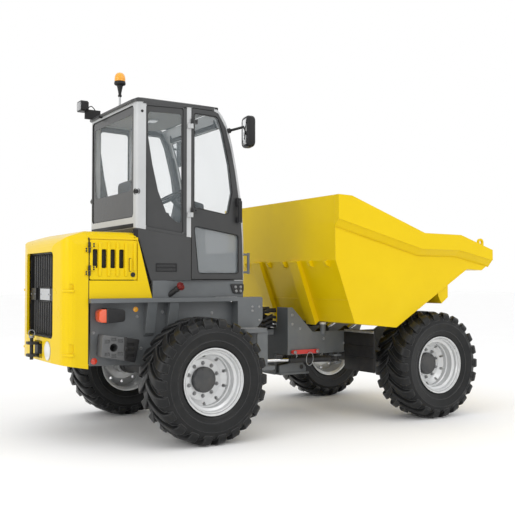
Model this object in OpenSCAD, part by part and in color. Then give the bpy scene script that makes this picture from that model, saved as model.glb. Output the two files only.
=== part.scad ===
// Articulated site dumper with a cab. The rear frame carries the engine hood and the cab, an
// oscillating articulation joint follows, and the front frame carries a forward-tipping skip.
// Frame: +X towards the skip, +Y to the left, +Z up. The origin is on the ground at mid length
// and mid width. All lengths are in millimetres.

/* [Wheels] */
// Tyre diameter over the lug tips
tyre_d = 1160; // [1120:10:1180]
// Tyre section width
tyre_w = 490; // [450:10:500]
// Rim diameter over the flanges
rim_d = 616; // [590:2:640]
// Distance between the left and right wheel centres
track = 2000; // [1990:5:2040]
// Tow jaw forward to the rear axle
rear_overhang = 1360; // [1340:5:1380]
// Distance between the axles
wheelbase = 2810; // [2790:5:2830]
// Length from the tow jaw to the skip's lip
overall_l = 5060; // [5020:10:5100]

/* [Frames] */
// Axle centre up to the underside of both frames
axle_seat = 120; // [112:2:130]
// Underside of the rear frame up to the top of its deck
rear_frame_h = 635; // [610:5:660]
// Half width over the rear side plates
rear_plate_hw = 590; // [575:5:600]
// Width of the deck ledge beyond the side plates
deck_ledge = 125; // [115:5:140]
// Thickness of the deck
deck_t = 40; // [30:2:50]
// Thickness of the frame plates
plate_t = 25; // [18:1:30]
// Half width over the front side plates
front_plate_hw = 460; // [450:2:470]
// Rear axle forward to the articulation axis
art_reach = 1110; // [1100:5:1120]
// Radius of the oscillation shaft
osc_r = 100; // [90:2:106]
// Radius of the articulation pin
art_pin_r = 45; // [38:1:52]

/* [Hood] */
// Half width over the hood's sides
hood_hw = 655; // [640:5:670]
// Height of the side strips between the deck and the doors
skirt_h = 165; // [150:5:175]
// Height of the hood's top above the deck
hood_h = 620; // [600:5:640]
// Length of the tail cover
tail_l = 260; // [240:5:275]
// Wall thickness of the hood panels
hood_t = 25; // [18:1:30]

/* [Cab] */
// Half width of the cab at the door posts
cab_hw = 690; // [680:2:700]
// Half width of the cab at its rear corners
cab_rear_hw = 615; // [600:5:630]
// Cab underside up to the window line behind the doors
waist_h = 500; // [480:5:520]
// Cab underside up to the underside of the roof
cab_h = 1700; // [1670:10:1740]
// Height of the roof's crown
roof_t = 90; // [80:2:100]
// Wall thickness of the cab
cab_t = 45; // [40:1:50]
// Thickness of the window glass
glass_t = 8; // [6:1:10]

/* [Skip] */
// Half width over the skip's side plates
skip_hw = 1100; // [1085:5:1115]
// Overhang of the rim band beyond the side plates
rim_band = 70; // [56:2:80]
// Plate thickness of the skip
skip_t = 14; // [10:1:18]
// Height of the skip's back wall above its floor
skip_h = 1380; // [1350:5:1410]
// Radius of the skip's pivot pins
tip_pin_r = 35; // [30:1:40]

/* [Cylinders] */
// Outer radius of a tipping cylinder
tip_barrel_r = 50; // [46:1:54]
// Radius of a tipping rod
tip_rod_r = 30; // [24:1:34]
// Outer radius of a steering cylinder
steer_barrel_r = 36; // [32:1:38]
// Radius of a steering rod
steer_rod_r = 20; // [16:1:22]

/* [Hidden] */
$fn = 48;
// Running clearance at pins, bores and rods
fit = 0.4;
// Gap round doors
door_gap = 8;
// Gap between fixed parts that only sit beside each other
seat_gap = 0.3;
// Reach of a cut beyond what it cuts
past = 20;

tail_end = -overall_l / 2;
lip_x = overall_l / 2;
rear_x = tail_end + rear_overhang;
front_x = rear_x + wheelbase;
art_x = rear_x + art_reach;
wheel_y = track / 2;
axle_z = tyre_d / 2;
frame_z = axle_z + axle_seat;
art_z = frame_z + 30;
deck_z = frame_z + rear_frame_h;
deck_hw = rear_plate_hw + deck_ledge;
cab_z = deck_z + skirt_h;
waist_z = cab_z + waist_h;
roof_z = cab_z + cab_h;
hood_z = deck_z + hood_h;
tail_x = rear_x - 1250;
split_x = tail_x + tail_l;
// Slanted joint between the hood and the cab, at its foot and at its head
slant_foot_x = rear_x - 390;
slant_head_x = rear_x - 520;
cab_rear_x = slant_head_x;
post_x = rear_x + 20;
cab_front_x = rear_x + 655;
bulkhead_x = art_x - 370;
tank_x = rear_x + 540;
tank_l = 290;
front_plate_x = art_x + 225;
skip_z = frame_z + 300;
tip_x = rear_x + 3000;
tip_z = skip_z + 90;
tip_r = 270;
tip_rest = 160;
ram_x = rear_x + 1620;
ram_z = frame_z - 160;
ram_y = 200;
eye_x = tip_x + tip_r * cos(tip_rest);
eye_z = tip_z + tip_r * sin(tip_rest);
ram_l = norm([eye_x - ram_x, eye_z - ram_z]);
ram_a = atan2(eye_z - ram_z, eye_x - ram_x);
steer_z = frame_z - 62;
steer_fx = art_x + 830;
steer_fy = 480;
steer_bx = art_x - 20;
steer_by = 300;
steer_l = norm([steer_fx - steer_bx, steer_fy - steer_by]);
steer_a = atan2(steer_fy - steer_by, steer_fx - steer_bx);

// Cab: front edge heights, lean of the screen, rounding at the brow, posts, rails and sills
cab_steps = [1, 0.985, 0.965, 0.93, 0.88, 0.8, 0.65, 0.5, 0.35, 0.2, 0];
screen_lean = 250;
brow_round = 85;
a_post = 30;
waist_fall = 0.15;
waist_rail = 25;
door_stile = 24;
upper_sill = 300;
lower_sill = 120;
handle_l = 220;
door_x0 = post_x + 15;
door_z0 = cab_z + 15;
door_z1 = roof_z - 20;
door_hinge_x = post_x + 10;
door_hinge_z = [waist_z + 160, roof_z - 175];
rear_glass_hw = cab_rear_hw - 62;
glass_z1 = roof_z - 28;
screen_hw = cab_hw - 105;
screen_z0 = cab_z + 290;
cab_cut_x = cab_front_x - 130;
roof_edge = 20;
pane_sink = 12;
band_t = 3;

// Tail and hood: grille opening, plate, hinges of the side doors
tail_flat_hw = 390;
grille_hw = 415;
grille_z0 = deck_z - 370;
grille_z1 = deck_z + 430;
grille_x = tail_x + 65;
plate_hw = 160;
plate_h = 126;
plate_z0 = deck_z - 30;
side_hinge_x = split_x;
side_hinge_z = [cab_z + 90, cab_z + 300];
side_door_z1 = hood_z - 75;
side_door_x1 = slant_head_x + 6;
roof_brow = 30;
tank_h = 305;
chock_w = 130;
floor_z = cab_z + cab_t;
seat_x = rear_x - 150;
dash_x = rear_x + 330;
dash_z = floor_z + 800;
yoke_top = art_z + 165;
hub_bore_r = 55;
barrel_l = 800;
steer_barrel_l = 560;
// Half height of a steering eye
steer_eye = 25;
// Wheels: bead seat, rim width, and the lugs of each shoulder
seat_r = rim_d / 2 - 24;
rim_w = tyre_w - 60;
lugs = 22;
lug_h = 36;
// Skip: corners of its side outline and the slope of its floor
skip_back_x = rear_x + 1460;
skip_foot_x = rear_x + 1717;
skip_toe_x = rear_x + 2280;
skip_nose_x = rear_x + 3350;
brow_x = rear_x + 1630;
dip_x = rear_x + 2640;
shelf_x = rear_x + 3190;
shelf_z = skip_z + 1015;
lip_top_z = skip_z + 856;
rim_drop = 70;
fold_z = skip_z + 710;
foot_z = skip_z + 55;
nose_z = skip_z + 633;
slope = (nose_z - skip_z) / (skip_nose_x - skip_toe_x);

function unit(v) = v / norm(v);
function flat(p) = [p[0], p[1]];
// Points of one rounded corner at b, coming from a and going to c
function corner(a, b, c, r, n) =
    r <= 0 ? [b] :
    let (u = unit(a - b), w = unit(c - b),
         half = acos(max(-1, min(1, u * w))) / 2,
         centre = b + unit(u + w) * (r / sin(half)),
         start = b + u * (r / tan(half)),
         stop = b + w * (r / tan(half)),
         a0 = atan2(start[1] - centre[1], start[0] - centre[0]),
         a1 = atan2(stop[1] - centre[1], stop[0] - centre[0]),
         turn = ((a1 - a0 + 540) % 360) - 180)
    [for (i = [0 : n]) centre + r * [cos(a0 + turn * i / n), sin(a0 + turn * i / n)]];
// Outline with rounded corners from points given as x, y, corner radius
function rounded(p, n = 5) = [for (i = [0 : len(p) - 1])
    each corner(flat(p[(i + len(p) - 1) % len(p)]), flat(p[i]), flat(p[(i + 1) % len(p)]), p[i][2], n)];
function round_box(x0, y0, x1, y1, r) = rounded([[x0, y0, r], [x1, y0, r], [x1, y1, r], [x0, y1, r]]);

module along_y(y0, y1) {
    translate([0, y1, 0]) rotate([90, 0, 0]) linear_extrude(y1 - y0) children();
}
module along_x(x0, x1) {
    translate([x0, 0, 0]) rotate([90, 0, 90]) linear_extrude(x1 - x0) children();
}
module along_z(z0, z1) {
    translate([0, 0, z0]) linear_extrude(z1 - z0) children();
}
module both_sides() {
    children();
    mirror([0, 1, 0]) children();
}
module block(x0, x1, y0, y1, z0, z1) {
    translate([x0, y0, z0]) cube([x1 - x0, y1 - y0, z1 - z0]);
}
module pin_y(x, z, y0, y1, r) {
    translate([x, y1, z]) rotate([90, 0, 0]) cylinder(r = r, h = y1 - y0);
}
module pin_x(y, z, x0, x1, r) {
    translate([x0, y, z]) rotate([0, 90, 0]) cylinder(r = r, h = x1 - x0);
}
module pin_z(x, y, z0, z1, r) {
    translate([x, y, z0]) cylinder(r = r, h = z1 - z0);
}
module tube_between(a, b, r) {
    d = b - a;
    translate(a) rotate([0, acos(d[2] / norm(d)), atan2(d[1], d[0])]) cylinder(r = r, h = norm(d));
}

// Rear frame: side plates, deck ledge, bulkhead and the housing of the oscillation shaft
module rear_chassis() {
    rear_end = split_x + 40;
    plate_in = rear_plate_hw - plate_t;
    side_front = bulkhead_x + plate_t;
    deck_front = tank_x;
    bore_r = osc_r + fit;
    housing_r = osc_r + 50;
    housing_end = art_x - 200;
    belly = frame_z - 200;
    bay_front = slant_foot_x - 40;
    rib_hw = 48;
    color([0.42, 0.43, 0.44]) difference() {
        union() {
            both_sides() along_y(plate_in, rear_plate_hw) polygon([
                [rear_end, frame_z + 20], [rear_end, deck_z - deck_t + 6], [tank_x - 10, deck_z - deck_t + 6],
                [tank_x - 10, deck_z - deck_t - 10], [side_front, deck_z - deck_t - 10], [side_front, frame_z],
                [rear_x - 300, frame_z]]);
            difference() {
                block(split_x, deck_front, -deck_hw, deck_hw, deck_z - deck_t, deck_z);
                block(rear_end + 60, bay_front, -hood_hw + 150, hood_hw - 150, deck_z - deck_t - past, deck_z + past);
            }
            both_sides() for (x = [rear_x - 378, rear_x - 149]) along_x(x - rib_hw, x + rib_hw) polygon([
                [rear_plate_hw - 6, deck_z - deck_t + 5], [deck_hw - 15, deck_z - deck_t + 5],
                [rear_plate_hw + 45, deck_z - 330], [rear_plate_hw - 6, deck_z - 370]]);
            along_x(bulkhead_x, side_front) polygon([
                [-plate_in - 5, deck_z - 80], [plate_in + 5, deck_z - 80], [plate_in + 5, frame_z + 10],
                [220, belly], [-220, belly], [-plate_in - 5, frame_z + 10]]);
            pin_x(0, art_z, bulkhead_x + 12, housing_end, housing_r);
            along_z(art_z - plate_t / 2, art_z + plate_t / 2) polygon([
                [bulkhead_x + 6, 40 - plate_in], [bulkhead_x + 6, plate_in - 40], [housing_end - 12, housing_r - 12],
                [housing_end - 12, -housing_r + 12]]);
            block(rear_end, rear_end + plate_t, -plate_in - 5, plate_in + 5, frame_z + 30, frame_z + 320);
            for (x = [rear_end + 110, slant_foot_x - 150]) {
                block(x, x + 60, -plate_in - 5, plate_in + 5, frame_z + 30, frame_z + 60);
            }
        }
        pin_x(0, art_z, bulkhead_x - past, housing_end + past, bore_r);
    }
}

// Rigid axle: tubes, differential, frame pads, end flanges and spindles
module axle(x, pad_y) {
    tube_r = 85;
    diff_r = 165;
    flange_r = 108;
    flange_in = wheel_y - 300;
    flange_out = wheel_y - 205;
    spindle_out = wheel_y - 70;
    color([0.3, 0.31, 0.32]) {
        pin_y(x, axle_z, -flange_in, flange_in, tube_r);
        translate([x, 0, axle_z]) sphere(r = diff_r);
        both_sides() {
            block(x - 110, x + 110, pad_y - 50, pad_y + 40, axle_z, frame_z);
            pin_y(x, axle_z, flange_in, flange_out, flange_r);
            pin_y(x, axle_z, flange_out, spindle_out, hub_bore_r);
        }
    }
}

module rear_axle() axle(rear_x, rear_plate_hw - plate_t / 2);
module front_axle() axle(front_x, front_plate_hw - plate_t / 2);

// Engine and gearbox as one plain mass
module engine_block() {
    front = slant_foot_x - 60;
    rear = split_x + 130;
    color([0.25, 0.26, 0.27]) block(rear, front, -320, 320, frame_z + 60, deck_z + 260);
}

// Solid form of the tail, drawn in from its outer faces by t
module tail_form(t, front) {
    half = hood_hw - t;
    rear = tail_x + t;
    corner_x = tail_x + 40 + t;
    top = hood_z - t;
    foot = t > 0 ? frame_z - 100 : frame_z;
    intersection() {
        along_z(foot, top) polygon(rounded([
            [front, -half, 0], [front, half, 0], [corner_x, half, 110], [rear, tail_flat_hw, 0], [rear, -tail_flat_hw, 0],
            [corner_x, -half, 110]]));
        along_y(-half, half) polygon(rounded([
            [front, foot, 0], [rear, foot + 45, 0], [rear, top - 80, 120], [front, top, 0]]));
        hood_form(t, rear, front);
    }
}
// Cross-section of the hood with rounded shoulders, drawn in by t
module hood_form(t, x0, x1) {
    half = hood_hw - t;
    foot = frame_z - 200;
    along_x(x0, x1) polygon(rounded([
        [-half, foot, 0], [half, foot, 0], [half, hood_z - t, 130 - t], [-half, hood_z - t, 130 - t]]));
}

// Tail cover with the grille's opening, a mouth for the tow jaw and two pairs of recessed grips
module tail_cover() {
    jaw_hw = 120;
    grip_depth = 15;
    grips = [[tail_x + 30, grille_z1 - 363, tail_x + 121, grille_z1 - 293],
        [tail_x + 24, frame_z + 140, tail_x + 125, frame_z + 230]];
    color([0.93, 0.72, 0.05]) {
        difference() {
            tail_form(0, split_x);
            tail_form(hood_t, split_x + past);
            along_x(tail_x - past, tail_x + 150) polygon(round_box(-grille_hw, grille_z0, grille_hw, grille_z1, 40));
            block(tail_x - past, tail_x + 150, -jaw_hw, jaw_hw, art_z + 40, art_z + 200);
            both_sides() for (g = grips) along_y(hood_hw - grip_depth, hood_hw + past)
                polygon(round_box(g[0], g[1], g[2], g[3], 22));
        }
        both_sides() for (z = side_hinge_z) {
            pin_z(side_hinge_x, hood_hw + 12, z - 42, z - 1, 11);
            block(side_hinge_x - 40, side_hinge_x, hood_hw - 6, hood_hw + 12, z - 42, z - 1);
        }
    }
}

// Grille with upright bars, set back behind the tail's opening, with a dark box at each side of the plate
module rear_grille() {
    half = grille_hw + 15;
    z0 = grille_z0 - 15;
    z1 = grille_z1 + 5;
    frame_x = tail_x + 42;
    face = grille_x;
    rear = grille_x + 30;
    pitch = 36;
    count = floor((2 * grille_hw - 40) / pitch);
    color([0.06, 0.06, 0.06]) {
        along_x(frame_x, rear) difference() {
            polygon(round_box(-half, z0, half, z1, 40));
            polygon(round_box(-half + 27, z0 + 27, half - 27, z1 - 17, 18));
        }
        block(tail_x + hood_t, frame_x + 5, -grille_hw + 140, grille_hw - 140, z0, z0 + 14);
        for (i = [0 : count]) {
            y = (i - count / 2) * pitch;
            block(face, rear - 6, y - 7, y + 7, z0 + 20, z1 - 10);
        }
        for (z = [z0 + (z1 - z0) / 3, z0 + 2 * (z1 - z0) / 3]) {
            block(face + 8, rear, -half + 20, half - 20, z - 6, z + 6);
        }
        both_sides() block(face - 25, face + 10, plate_hw + 70, grille_hw - 20, plate_z0 + 5, plate_z0 + plate_h - 5);
    }
}

// Top of the hood with its shoulders and the pillars in front of the side doors
module hood_top() {
    head = hood_z + past;
    gap = 20;
    color([0.93, 0.72, 0.05]) intersection() {
        difference() {
            hood_form(0, split_x, slant_foot_x);
            hood_form(hood_t, split_x - past, slant_foot_x + past);
        }
        along_y(-hood_hw - past, hood_hw + past) polygon([
            [split_x, side_door_z1], [split_x, head], [slant_x(head) - gap, head],
            [slant_x(cab_z) - gap, cab_z], [side_door_x1, cab_z], [side_door_x1, side_door_z1]]);
    }
}
// X of the slanted joint at height z
function slant_x(z) = slant_foot_x + (slant_head_x - slant_foot_x) * (z - cab_z) / (waist_z - cab_z);

// Strips between the deck and the side doors
module hood_skirts() {
    color([0.93, 0.72, 0.05]) both_sides() along_y(hood_hw - hood_t, hood_hw) polygon([
        [split_x, deck_z], [split_x, cab_z], [slant_x(cab_z) - 20, cab_z], [slant_x(cab_z) + 25, deck_z]]);
}

// Louvred service door with its upper hinge knuckles, on the right
module side_door() {
    x0 = split_x + door_gap;
    x1 = side_door_x1 - door_gap;
    z0 = cab_z + door_gap;
    z1 = side_door_z1 - door_gap;
    slots = 4;
    slot_w = 51;
    pitch = 85;
    slot_x = (x0 + x1) / 2 - 50;
    color([0.93, 0.72, 0.05]) {
        difference() {
            along_y(-hood_hw, -hood_hw + hood_t) polygon(round_box(x0, z0, x1, z1, 16));
            for (i = [0 : slots - 1]) {
                x = slot_x + (i - (slots - 1) / 2) * pitch;
                along_y(-hood_hw - past, -hood_hw + hood_t + past)
                    polygon(round_box(x - slot_w / 2, z0 + 105, x + slot_w / 2, z1 - 85, 14));
            }
        }
        for (i = [1 : slots]) {
            x = slot_x + (i - slots / 2) * pitch;
            along_y(-hood_hw - 10, -hood_hw + 5) polygon(round_box(x - 13, z0 + 95, x + 13, z1 - 75, 10));
        }
        for (z = side_hinge_z) {
            pin_z(side_hinge_x, -hood_hw - 12, z + 1, z + 42, 11);
            block(side_hinge_x, side_hinge_x + 60, -hood_hw - 12, -hood_hw + 5, z + 1, z + 42);
        }
    }
}
module side_door_right() side_door();
module side_door_left() mirror([0, 1, 0]) side_door();

// Strips under the cab, with cross rails that carry its floor
module cab_skirts() {
    x0 = slant_x(cab_z) + 30;
    x1 = cab_front_x - 20;
    color([0.5, 0.51, 0.52]) {
        both_sides() block(x0, x1, hood_hw - hood_t, hood_hw, deck_z, cab_z);
        for (x = [x0, x1 - 40]) block(x, x + 40, -hood_hw + hood_t, hood_hw - hood_t, deck_z, cab_z);
    }
}

// Side outline of the cab drawn in by t, front edge curving back to the roof
function cab_rise(z) = (z - cab_z) / cab_h;
function cab_front(z) = cab_front_x - screen_lean * pow(cab_rise(z), 2.1) - brow_round * pow(cab_rise(z), 20);
function cab_side(t) = concat(
    [[slant_foot_x + 20 + t, cab_z], [slant_head_x + t, waist_z], [slant_head_x + t, roof_z]],
    [for (i = cab_steps) let (z = cab_z + cab_h * i) [cab_front(z) - t, z]]);
function cab_plan(t) = rounded([
    [cab_rear_x + t, -cab_rear_hw + t, 60], [post_x, -cab_hw + t, 0], [cab_front_x - t, -cab_hw + 30 + t, 50],
    [cab_front_x - t, cab_hw - 30 - t, 50], [post_x, cab_hw - t, 0], [cab_rear_x + t, cab_rear_hw - t, 60]]);
module cab_form(t) {
    intersection() {
        along_y(-cab_hw, cab_hw) polygon(cab_side(t));
        along_z(cab_z, roof_z) polygon(cab_plan(t));
    }
}
module cab_shell() {
    difference() {
        cab_form(0);
        translate([0, 0, cab_t]) cab_form(cab_t);
        block(cab_rear_x + 60, cab_front(roof_z) - 60, -cab_hw + 100, cab_hw - 100, roof_z - 60, roof_z + past);
    }
}
// Door outline grown by g
function door_front(z) = cab_front(z) - a_post;
function door_outline(g) = concat(
    [[door_x0 - g, door_z0 - g]],
    [for (i = [0 : 7]) let (z = door_z0 + (door_z1 - 150 - door_z0) * i / 7)
        [door_front(z) + g, z - (i == 0 ? g : 0)]],
    [[door_front(door_z1 - 70) - 12 + g, door_z1 - 70 + g * 0.3], [door_front(door_z1 - 70) - 42 + g * 0.7,
     door_z1 - 24 + g * 0.7], [door_front(door_z1 - 70) - 105, door_z1 + g], [door_x0 - g, door_z1 + g]]);
// Waist line, falling towards the front
function waist_at(x) = waist_z - (x - slant_head_x) * waist_fall;
// Upper and lower door windows drawn in by t, with sills along the waist line
function door_upper(t) = let (x0 = door_x0 + door_stile, z0 = waist_at(x0) + upper_sill, zm = z0 + 300) rounded([
    [x0 + t, z0 + t, 25], [door_front(z0) - 135 - t, waist_at(door_front(z0) - 135) + upper_sill + t, 45],
    [door_front(zm - 130) - 62 - t, zm - 130, 0], [door_front(zm + 150) - 50 - t, zm + 150, 0],
    [door_front(door_z1 - 190) - 48 - t, door_z1 - 190, 0], [door_front(door_z1 - 190) - 105 - t, door_z1 - 50 - t, 50],
    [x0 + t, door_z1 - 45 - t, 25]]);
function door_lower(t) = let (x0 = door_x0 + door_stile, x1 = door_front(door_z0 + 60) - 50) rounded([
    [x0 + 50 + t, door_z0 + 55 + t, 35], [x1 - t, door_z0 + 55 + t, 30],
    [x1 - t, waist_at(x1) + lower_sill - t, 30], [x0 + t, waist_at(x0) + lower_sill - t, 30]]);
// Quarter, rear and front panes drawn in by t
function quarter(t) = let (x0 = cab_rear_x + 100, x1 = post_x - 72) rounded([
    [x0 + t, waist_at(x0) + waist_rail + t, 20], [x1 - t, waist_at(x1) + waist_rail + t, 20],
    [x1 - t, glass_z1 - t, 20], [x0 + t, glass_z1 - t, 20]]);
function rear_pane(t) = round_box(-rear_glass_hw + t, waist_z + 105 + t, rear_glass_hw - t, glass_z1 - t, 40);
function screen(t) = round_box(-screen_hw + t, screen_z0 + t, screen_hw - t, roof_z - 150 - t, 40);
// Clear middle of a quarter pane inside its dark border, swept forwards to the sill
function quarter_clear() = let (x0 = cab_rear_x + 100, x1 = post_x - 90) rounded([
    [x0 + 20, glass_z1 - 60, 30], [x0 + 20, waist_z + 880, 0], [x0 + 62, waist_z + 617, 0],
    [x0 + 121, waist_z + 352, 0], [x0 + 200, waist_z + 155, 0], [x0 + 290, waist_z + 72, 0],
    [x1, waist_at(x1) + waist_rail + 95, 20], [x1, glass_z1 - 60, 30]]);
function rear_clear() = rounded([
    [-rear_glass_hw + 75, waist_z + 360, 60], [rear_glass_hw - 75, waist_z + 360, 60],
    [rear_glass_hw - 45, waist_z + 700, 0], [rear_glass_hw - 50, glass_z1 - 80, 30],
    [-rear_glass_hw + 50, glass_z1 - 80, 30], [-rear_glass_hw + 45, waist_z + 700, 0]]);

// Cab shell with its door and window openings
module cab_open() {
    difference() {
        cab_shell();
        both_sides() along_y(cab_hw - 110, cab_hw + past) polygon(door_outline(door_gap));
        both_sides() along_y(cab_rear_hw - 120, cab_hw + past) polygon(quarter(0));
        along_x(cab_rear_x - past, cab_rear_x + 120) polygon(rear_pane(0));
        along_x(cab_front_x - 500, cab_front_x + past) polygon(screen(0));
    }
}
// Space below the waist line, back from the front posts
module below_waist() {
    x0 = cab_rear_x - past;
    along_y(-cab_hw - past, cab_hw + past) polygon([
        [x0, cab_z - past], [cab_cut_x, cab_z - past], [cab_cut_x, waist_at(cab_cut_x)], [x0, waist_at(x0)]]);
}
// Lower cab: floor, quarter panels and rear bulkhead
module cab_tub() {
    color([0.3, 0.31, 0.33]) intersection() {
        cab_open();
        below_waist();
    }
}
// Posts and rails round the windows and doors
module cab_posts() {
    color([0.82, 0.83, 0.83]) {
        difference() {
            cab_open();
            below_waist();
        }
        both_sides() for (z = door_hinge_z) {
            pin_z(door_hinge_x, cab_hw + 14, z - 46, z - 1, 13);
            block(door_hinge_x - 45, door_hinge_x, cab_hw - 12, cab_hw + 14, z - 46, z - 1);
        }
    }
}

// Crowned roof with thin edges
module roof_form() {
    rear = cab_rear_x - 30;
    front = cab_front(roof_z) + roof_brow;
    half = cab_hw - 10;
    intersection() {
        along_z(roof_z, roof_z + roof_t) polygon(rounded([
            [rear, -cab_rear_hw - 8, 90], [post_x, -half, 0], [front, -half + 30, 110], [front, half - 30, 110],
            [post_x, half, 0], [rear, cab_rear_hw + 8, 90]]));
        along_y(-half, half) polygon(rounded([
            [rear, roof_z, 0], [front, roof_z, 0], [front, roof_z + roof_edge, 0], [front - 160, roof_z + roof_t - 12, 200],
            [rear + 200, roof_z + roof_t, 260], [rear, roof_z + roof_edge, 0]]));
        along_x(rear, front) polygon(rounded([
            [-half, roof_z, 0], [half, roof_z, 0], [half, roof_z + roof_edge, 0], [half - 260, roof_z + roof_t, 320],
            [-half + 260, roof_z + roof_t, 320], [-half, roof_z + roof_edge, 0]]));
    }
}

module cab_roof() color([0.85, 0.86, 0.86]) roof_form();

// Thin shell of glass that follows the cab's outer faces
module pane_shell() {
    difference() {
        cab_form(pane_sink);
        cab_form(pane_sink + glass_t);
    }
}
module rear_window() {
    color([0.6, 0.7, 0.72, 0.4]) intersection() {
        pane_shell();
        along_x(cab_rear_x - past, cab_rear_x + 100) polygon(rear_pane(seat_gap));
    }
}
module quarter_windows() {
    color([0.6, 0.7, 0.72, 0.4]) intersection() {
        pane_shell();
        both_sides() along_y(cab_rear_hw - 110, cab_hw) polygon(quarter(seat_gap));
    }
}
module windscreen() {
    color([0.6, 0.7, 0.72, 0.4]) intersection() {
        pane_shell();
        along_x(cab_front_x - 450, cab_front_x) polygon(screen(seat_gap));
    }
}

// Dark borders that lie on the rear and quarter panes
module glass_bands() {
    color([0.2, 0.2, 0.21]) intersection() {
        difference() {
            cab_form(pane_sink - band_t);
            cab_form(pane_sink);
        }
        union() {
            along_x(cab_rear_x - past, cab_rear_x + 100) difference() {
                polygon(rear_pane(seat_gap));
                polygon(rear_clear());
            }
            both_sides() along_y(cab_rear_hw - 110, cab_hw) difference() {
                polygon(quarter(seat_gap));
                polygon(quarter_clear());
            }
        }
    }
}

// Cab door on the right with its hinge knuckles and upright handle
module door() {
    z = waist_z + 80;
    x = door_front(z) - 12;
    color([0.3, 0.31, 0.33]) {
        difference() {
            intersection() {
                cab_shell();
                along_y(-cab_hw - past, -cab_hw + 110) polygon(door_outline(0));
            }
            along_y(-cab_hw - past, -cab_hw + 110) polygon(door_upper(0));
            along_y(-cab_hw - past, -cab_hw + 110) polygon(door_lower(0));
        }
        for (h = door_hinge_z) {
            pin_z(door_hinge_x, -cab_hw - 14, h + 1, h + 46, 13);
            block(door_hinge_x, door_hinge_x + 60, -cab_hw - 14, -cab_hw + 12, h + 1, h + 46);
        }
        block(x - 42, x - 6, -cab_hw - 34, -cab_hw - 14, z, z + handle_l);
        for (h = [z + 6, z + handle_l - 46]) block(x - 40, x - 8, -cab_hw - 20, -cab_hw + 40, h, h + 40);
    }
}
module door_glass() {
    color([0.6, 0.7, 0.72, 0.4]) intersection() {
        pane_shell();
        along_y(-cab_hw, -cab_hw + 110) {
            polygon(door_upper(seat_gap));
            polygon(door_lower(seat_gap));
        }
    }
}
module door_right() door();
module door_left() mirror([0, 1, 0]) door();
module door_glass_right() door_glass();
module door_glass_left() mirror([0, 1, 0]) door_glass();

// Operator's seat on its pedestal, facing the skip
module seat() {
    cushion_z = floor_z + 360;
    back_x = seat_x - 210;
    color([0.08, 0.08, 0.09]) {
        block(seat_x - 120, seat_x + 170, -190, 190, floor_z, cushion_z);
        along_y(-250, 250) polygon(round_box(seat_x - 200, cushion_z, seat_x + 270, cushion_z + 120, 40));
        along_y(-240, 240) polygon(rounded([
            [back_x + 60, cushion_z + 40, 30], [back_x + 150, cushion_z + 60, 30],
            [back_x + 90, cushion_z + 640, 45], [back_x - 30, cushion_z + 640, 45]]));
        both_sides() along_y(255, 315) polygon(round_box(seat_x - 170, cushion_z + 230, seat_x + 130, cushion_z + 280, 20));
        both_sides() block(seat_x - 150, seat_x - 100, 235, 300, cushion_z + 50, cushion_z + 245);
    }
}
// Dash column in front of the operator
module console_form() {
    along_y(-170, 170) polygon(rounded([
        [dash_x - 20, floor_z, 0], [dash_x + 150, floor_z, 0], [dash_x + 110, dash_z - 40, 30],
        [dash_x - 60, dash_z, 40], [dash_x - 90, dash_z - 160, 30]]));
}
module console() {
    color([0.12, 0.12, 0.13]) {
        console_form();
        both_sides() block(dash_x - 60, dash_x + 120, 230, 300, floor_z, floor_z + 60);
    }
}
module steering_wheel() {
    ring_r = 190;
    grip_r = 15;
    tilt = -28;
    hub = [dash_x - 190, 0, dash_z + 30];
    color([0.05, 0.05, 0.05]) {
        translate(hub) rotate([0, tilt, 0]) {
            rotate_extrude() translate([ring_r, 0]) circle(r = grip_r, $fn = 20);
            cylinder(r = 42, h = 30, center = true);
            for (a = [0, 120, 240]) rotate([0, 0, a]) translate([0, -14, -7]) cube([ring_r, 28, 14]);
        }
        difference() {
            tube_between([dash_x - 40, 0, dash_z - 120], hub, 26);
            console_form();
        }
    }
}

// Mirrors on tubular arms from the front posts
module mirrors() {
    z = roof_z - 200;
    arm_r = 13;
    head_h = 280;
    head = [cab_front_x - 70, cab_hw + 130, roof_z - 220];
    color([0.1, 0.1, 0.1]) both_sides() {
        difference() {
            tube_between([cab_front(z) - 8, cab_hw - 60, z], [head[0], head[1], z + 40], arm_r);
            cab_form(0);
        }
        translate([head[0], head[1], head[2] - head_h / 2]) rotate([0, 0, 12]) linear_extrude(head_h)
            polygon(round_box(-28, -85, 28, 85, 22));
    }
}
// Work lamps: one on a bracket at the rear left, two at the roof's front edge
module work_lamps() {
    top = roof_z + roof_t;
    rear = cab_rear_x - 20;
    front = cab_front(roof_z) + roof_brow;
    color([0.12, 0.12, 0.12]) difference() {
        union() {
            block(rear - 90, rear + 80, 480, 500, roof_z + 8, top + 20);
            along_x(rear - 150, rear - 80) polygon(round_box(420, top - 10, 560, top + 100, 22));
            both_sides() along_x(front - 15, front + 60) polygon(round_box(445, roof_z - 20, 535, roof_z + 60, 18));
        }
        roof_form();
        cab_form(0);
    }
}
// Amber beacon on its pole
module beacon() {
    pole_r = 11;
    stem_z = roof_z + 160;
    base_z = stem_z + 110;
    dome_z = base_z + 40;
    color([0.95, 0.5, 0.05]) translate([cab_rear_x + 60, -60, 0]) {
        difference() {
            pin_z(0, 0, roof_z + 10, stem_z + 5, pole_r);
            translate([-cab_rear_x - 60, 60, 0]) roof_form();
        }
        translate([0, 0, stem_z]) cylinder(r1 = pole_r + 3, r2 = 30, h = base_z - stem_z + 2);
        pin_z(0, 0, base_z, dome_z, 58);
        rotate_extrude() polygon([
            [0, dome_z - 5], [55, dome_z - 5], [55, dome_z + 30], [52, dome_z + 52], [44, dome_z + 72],
            [30, dome_z + 86], [0, dome_z + 92]]);
    }
}
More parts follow.
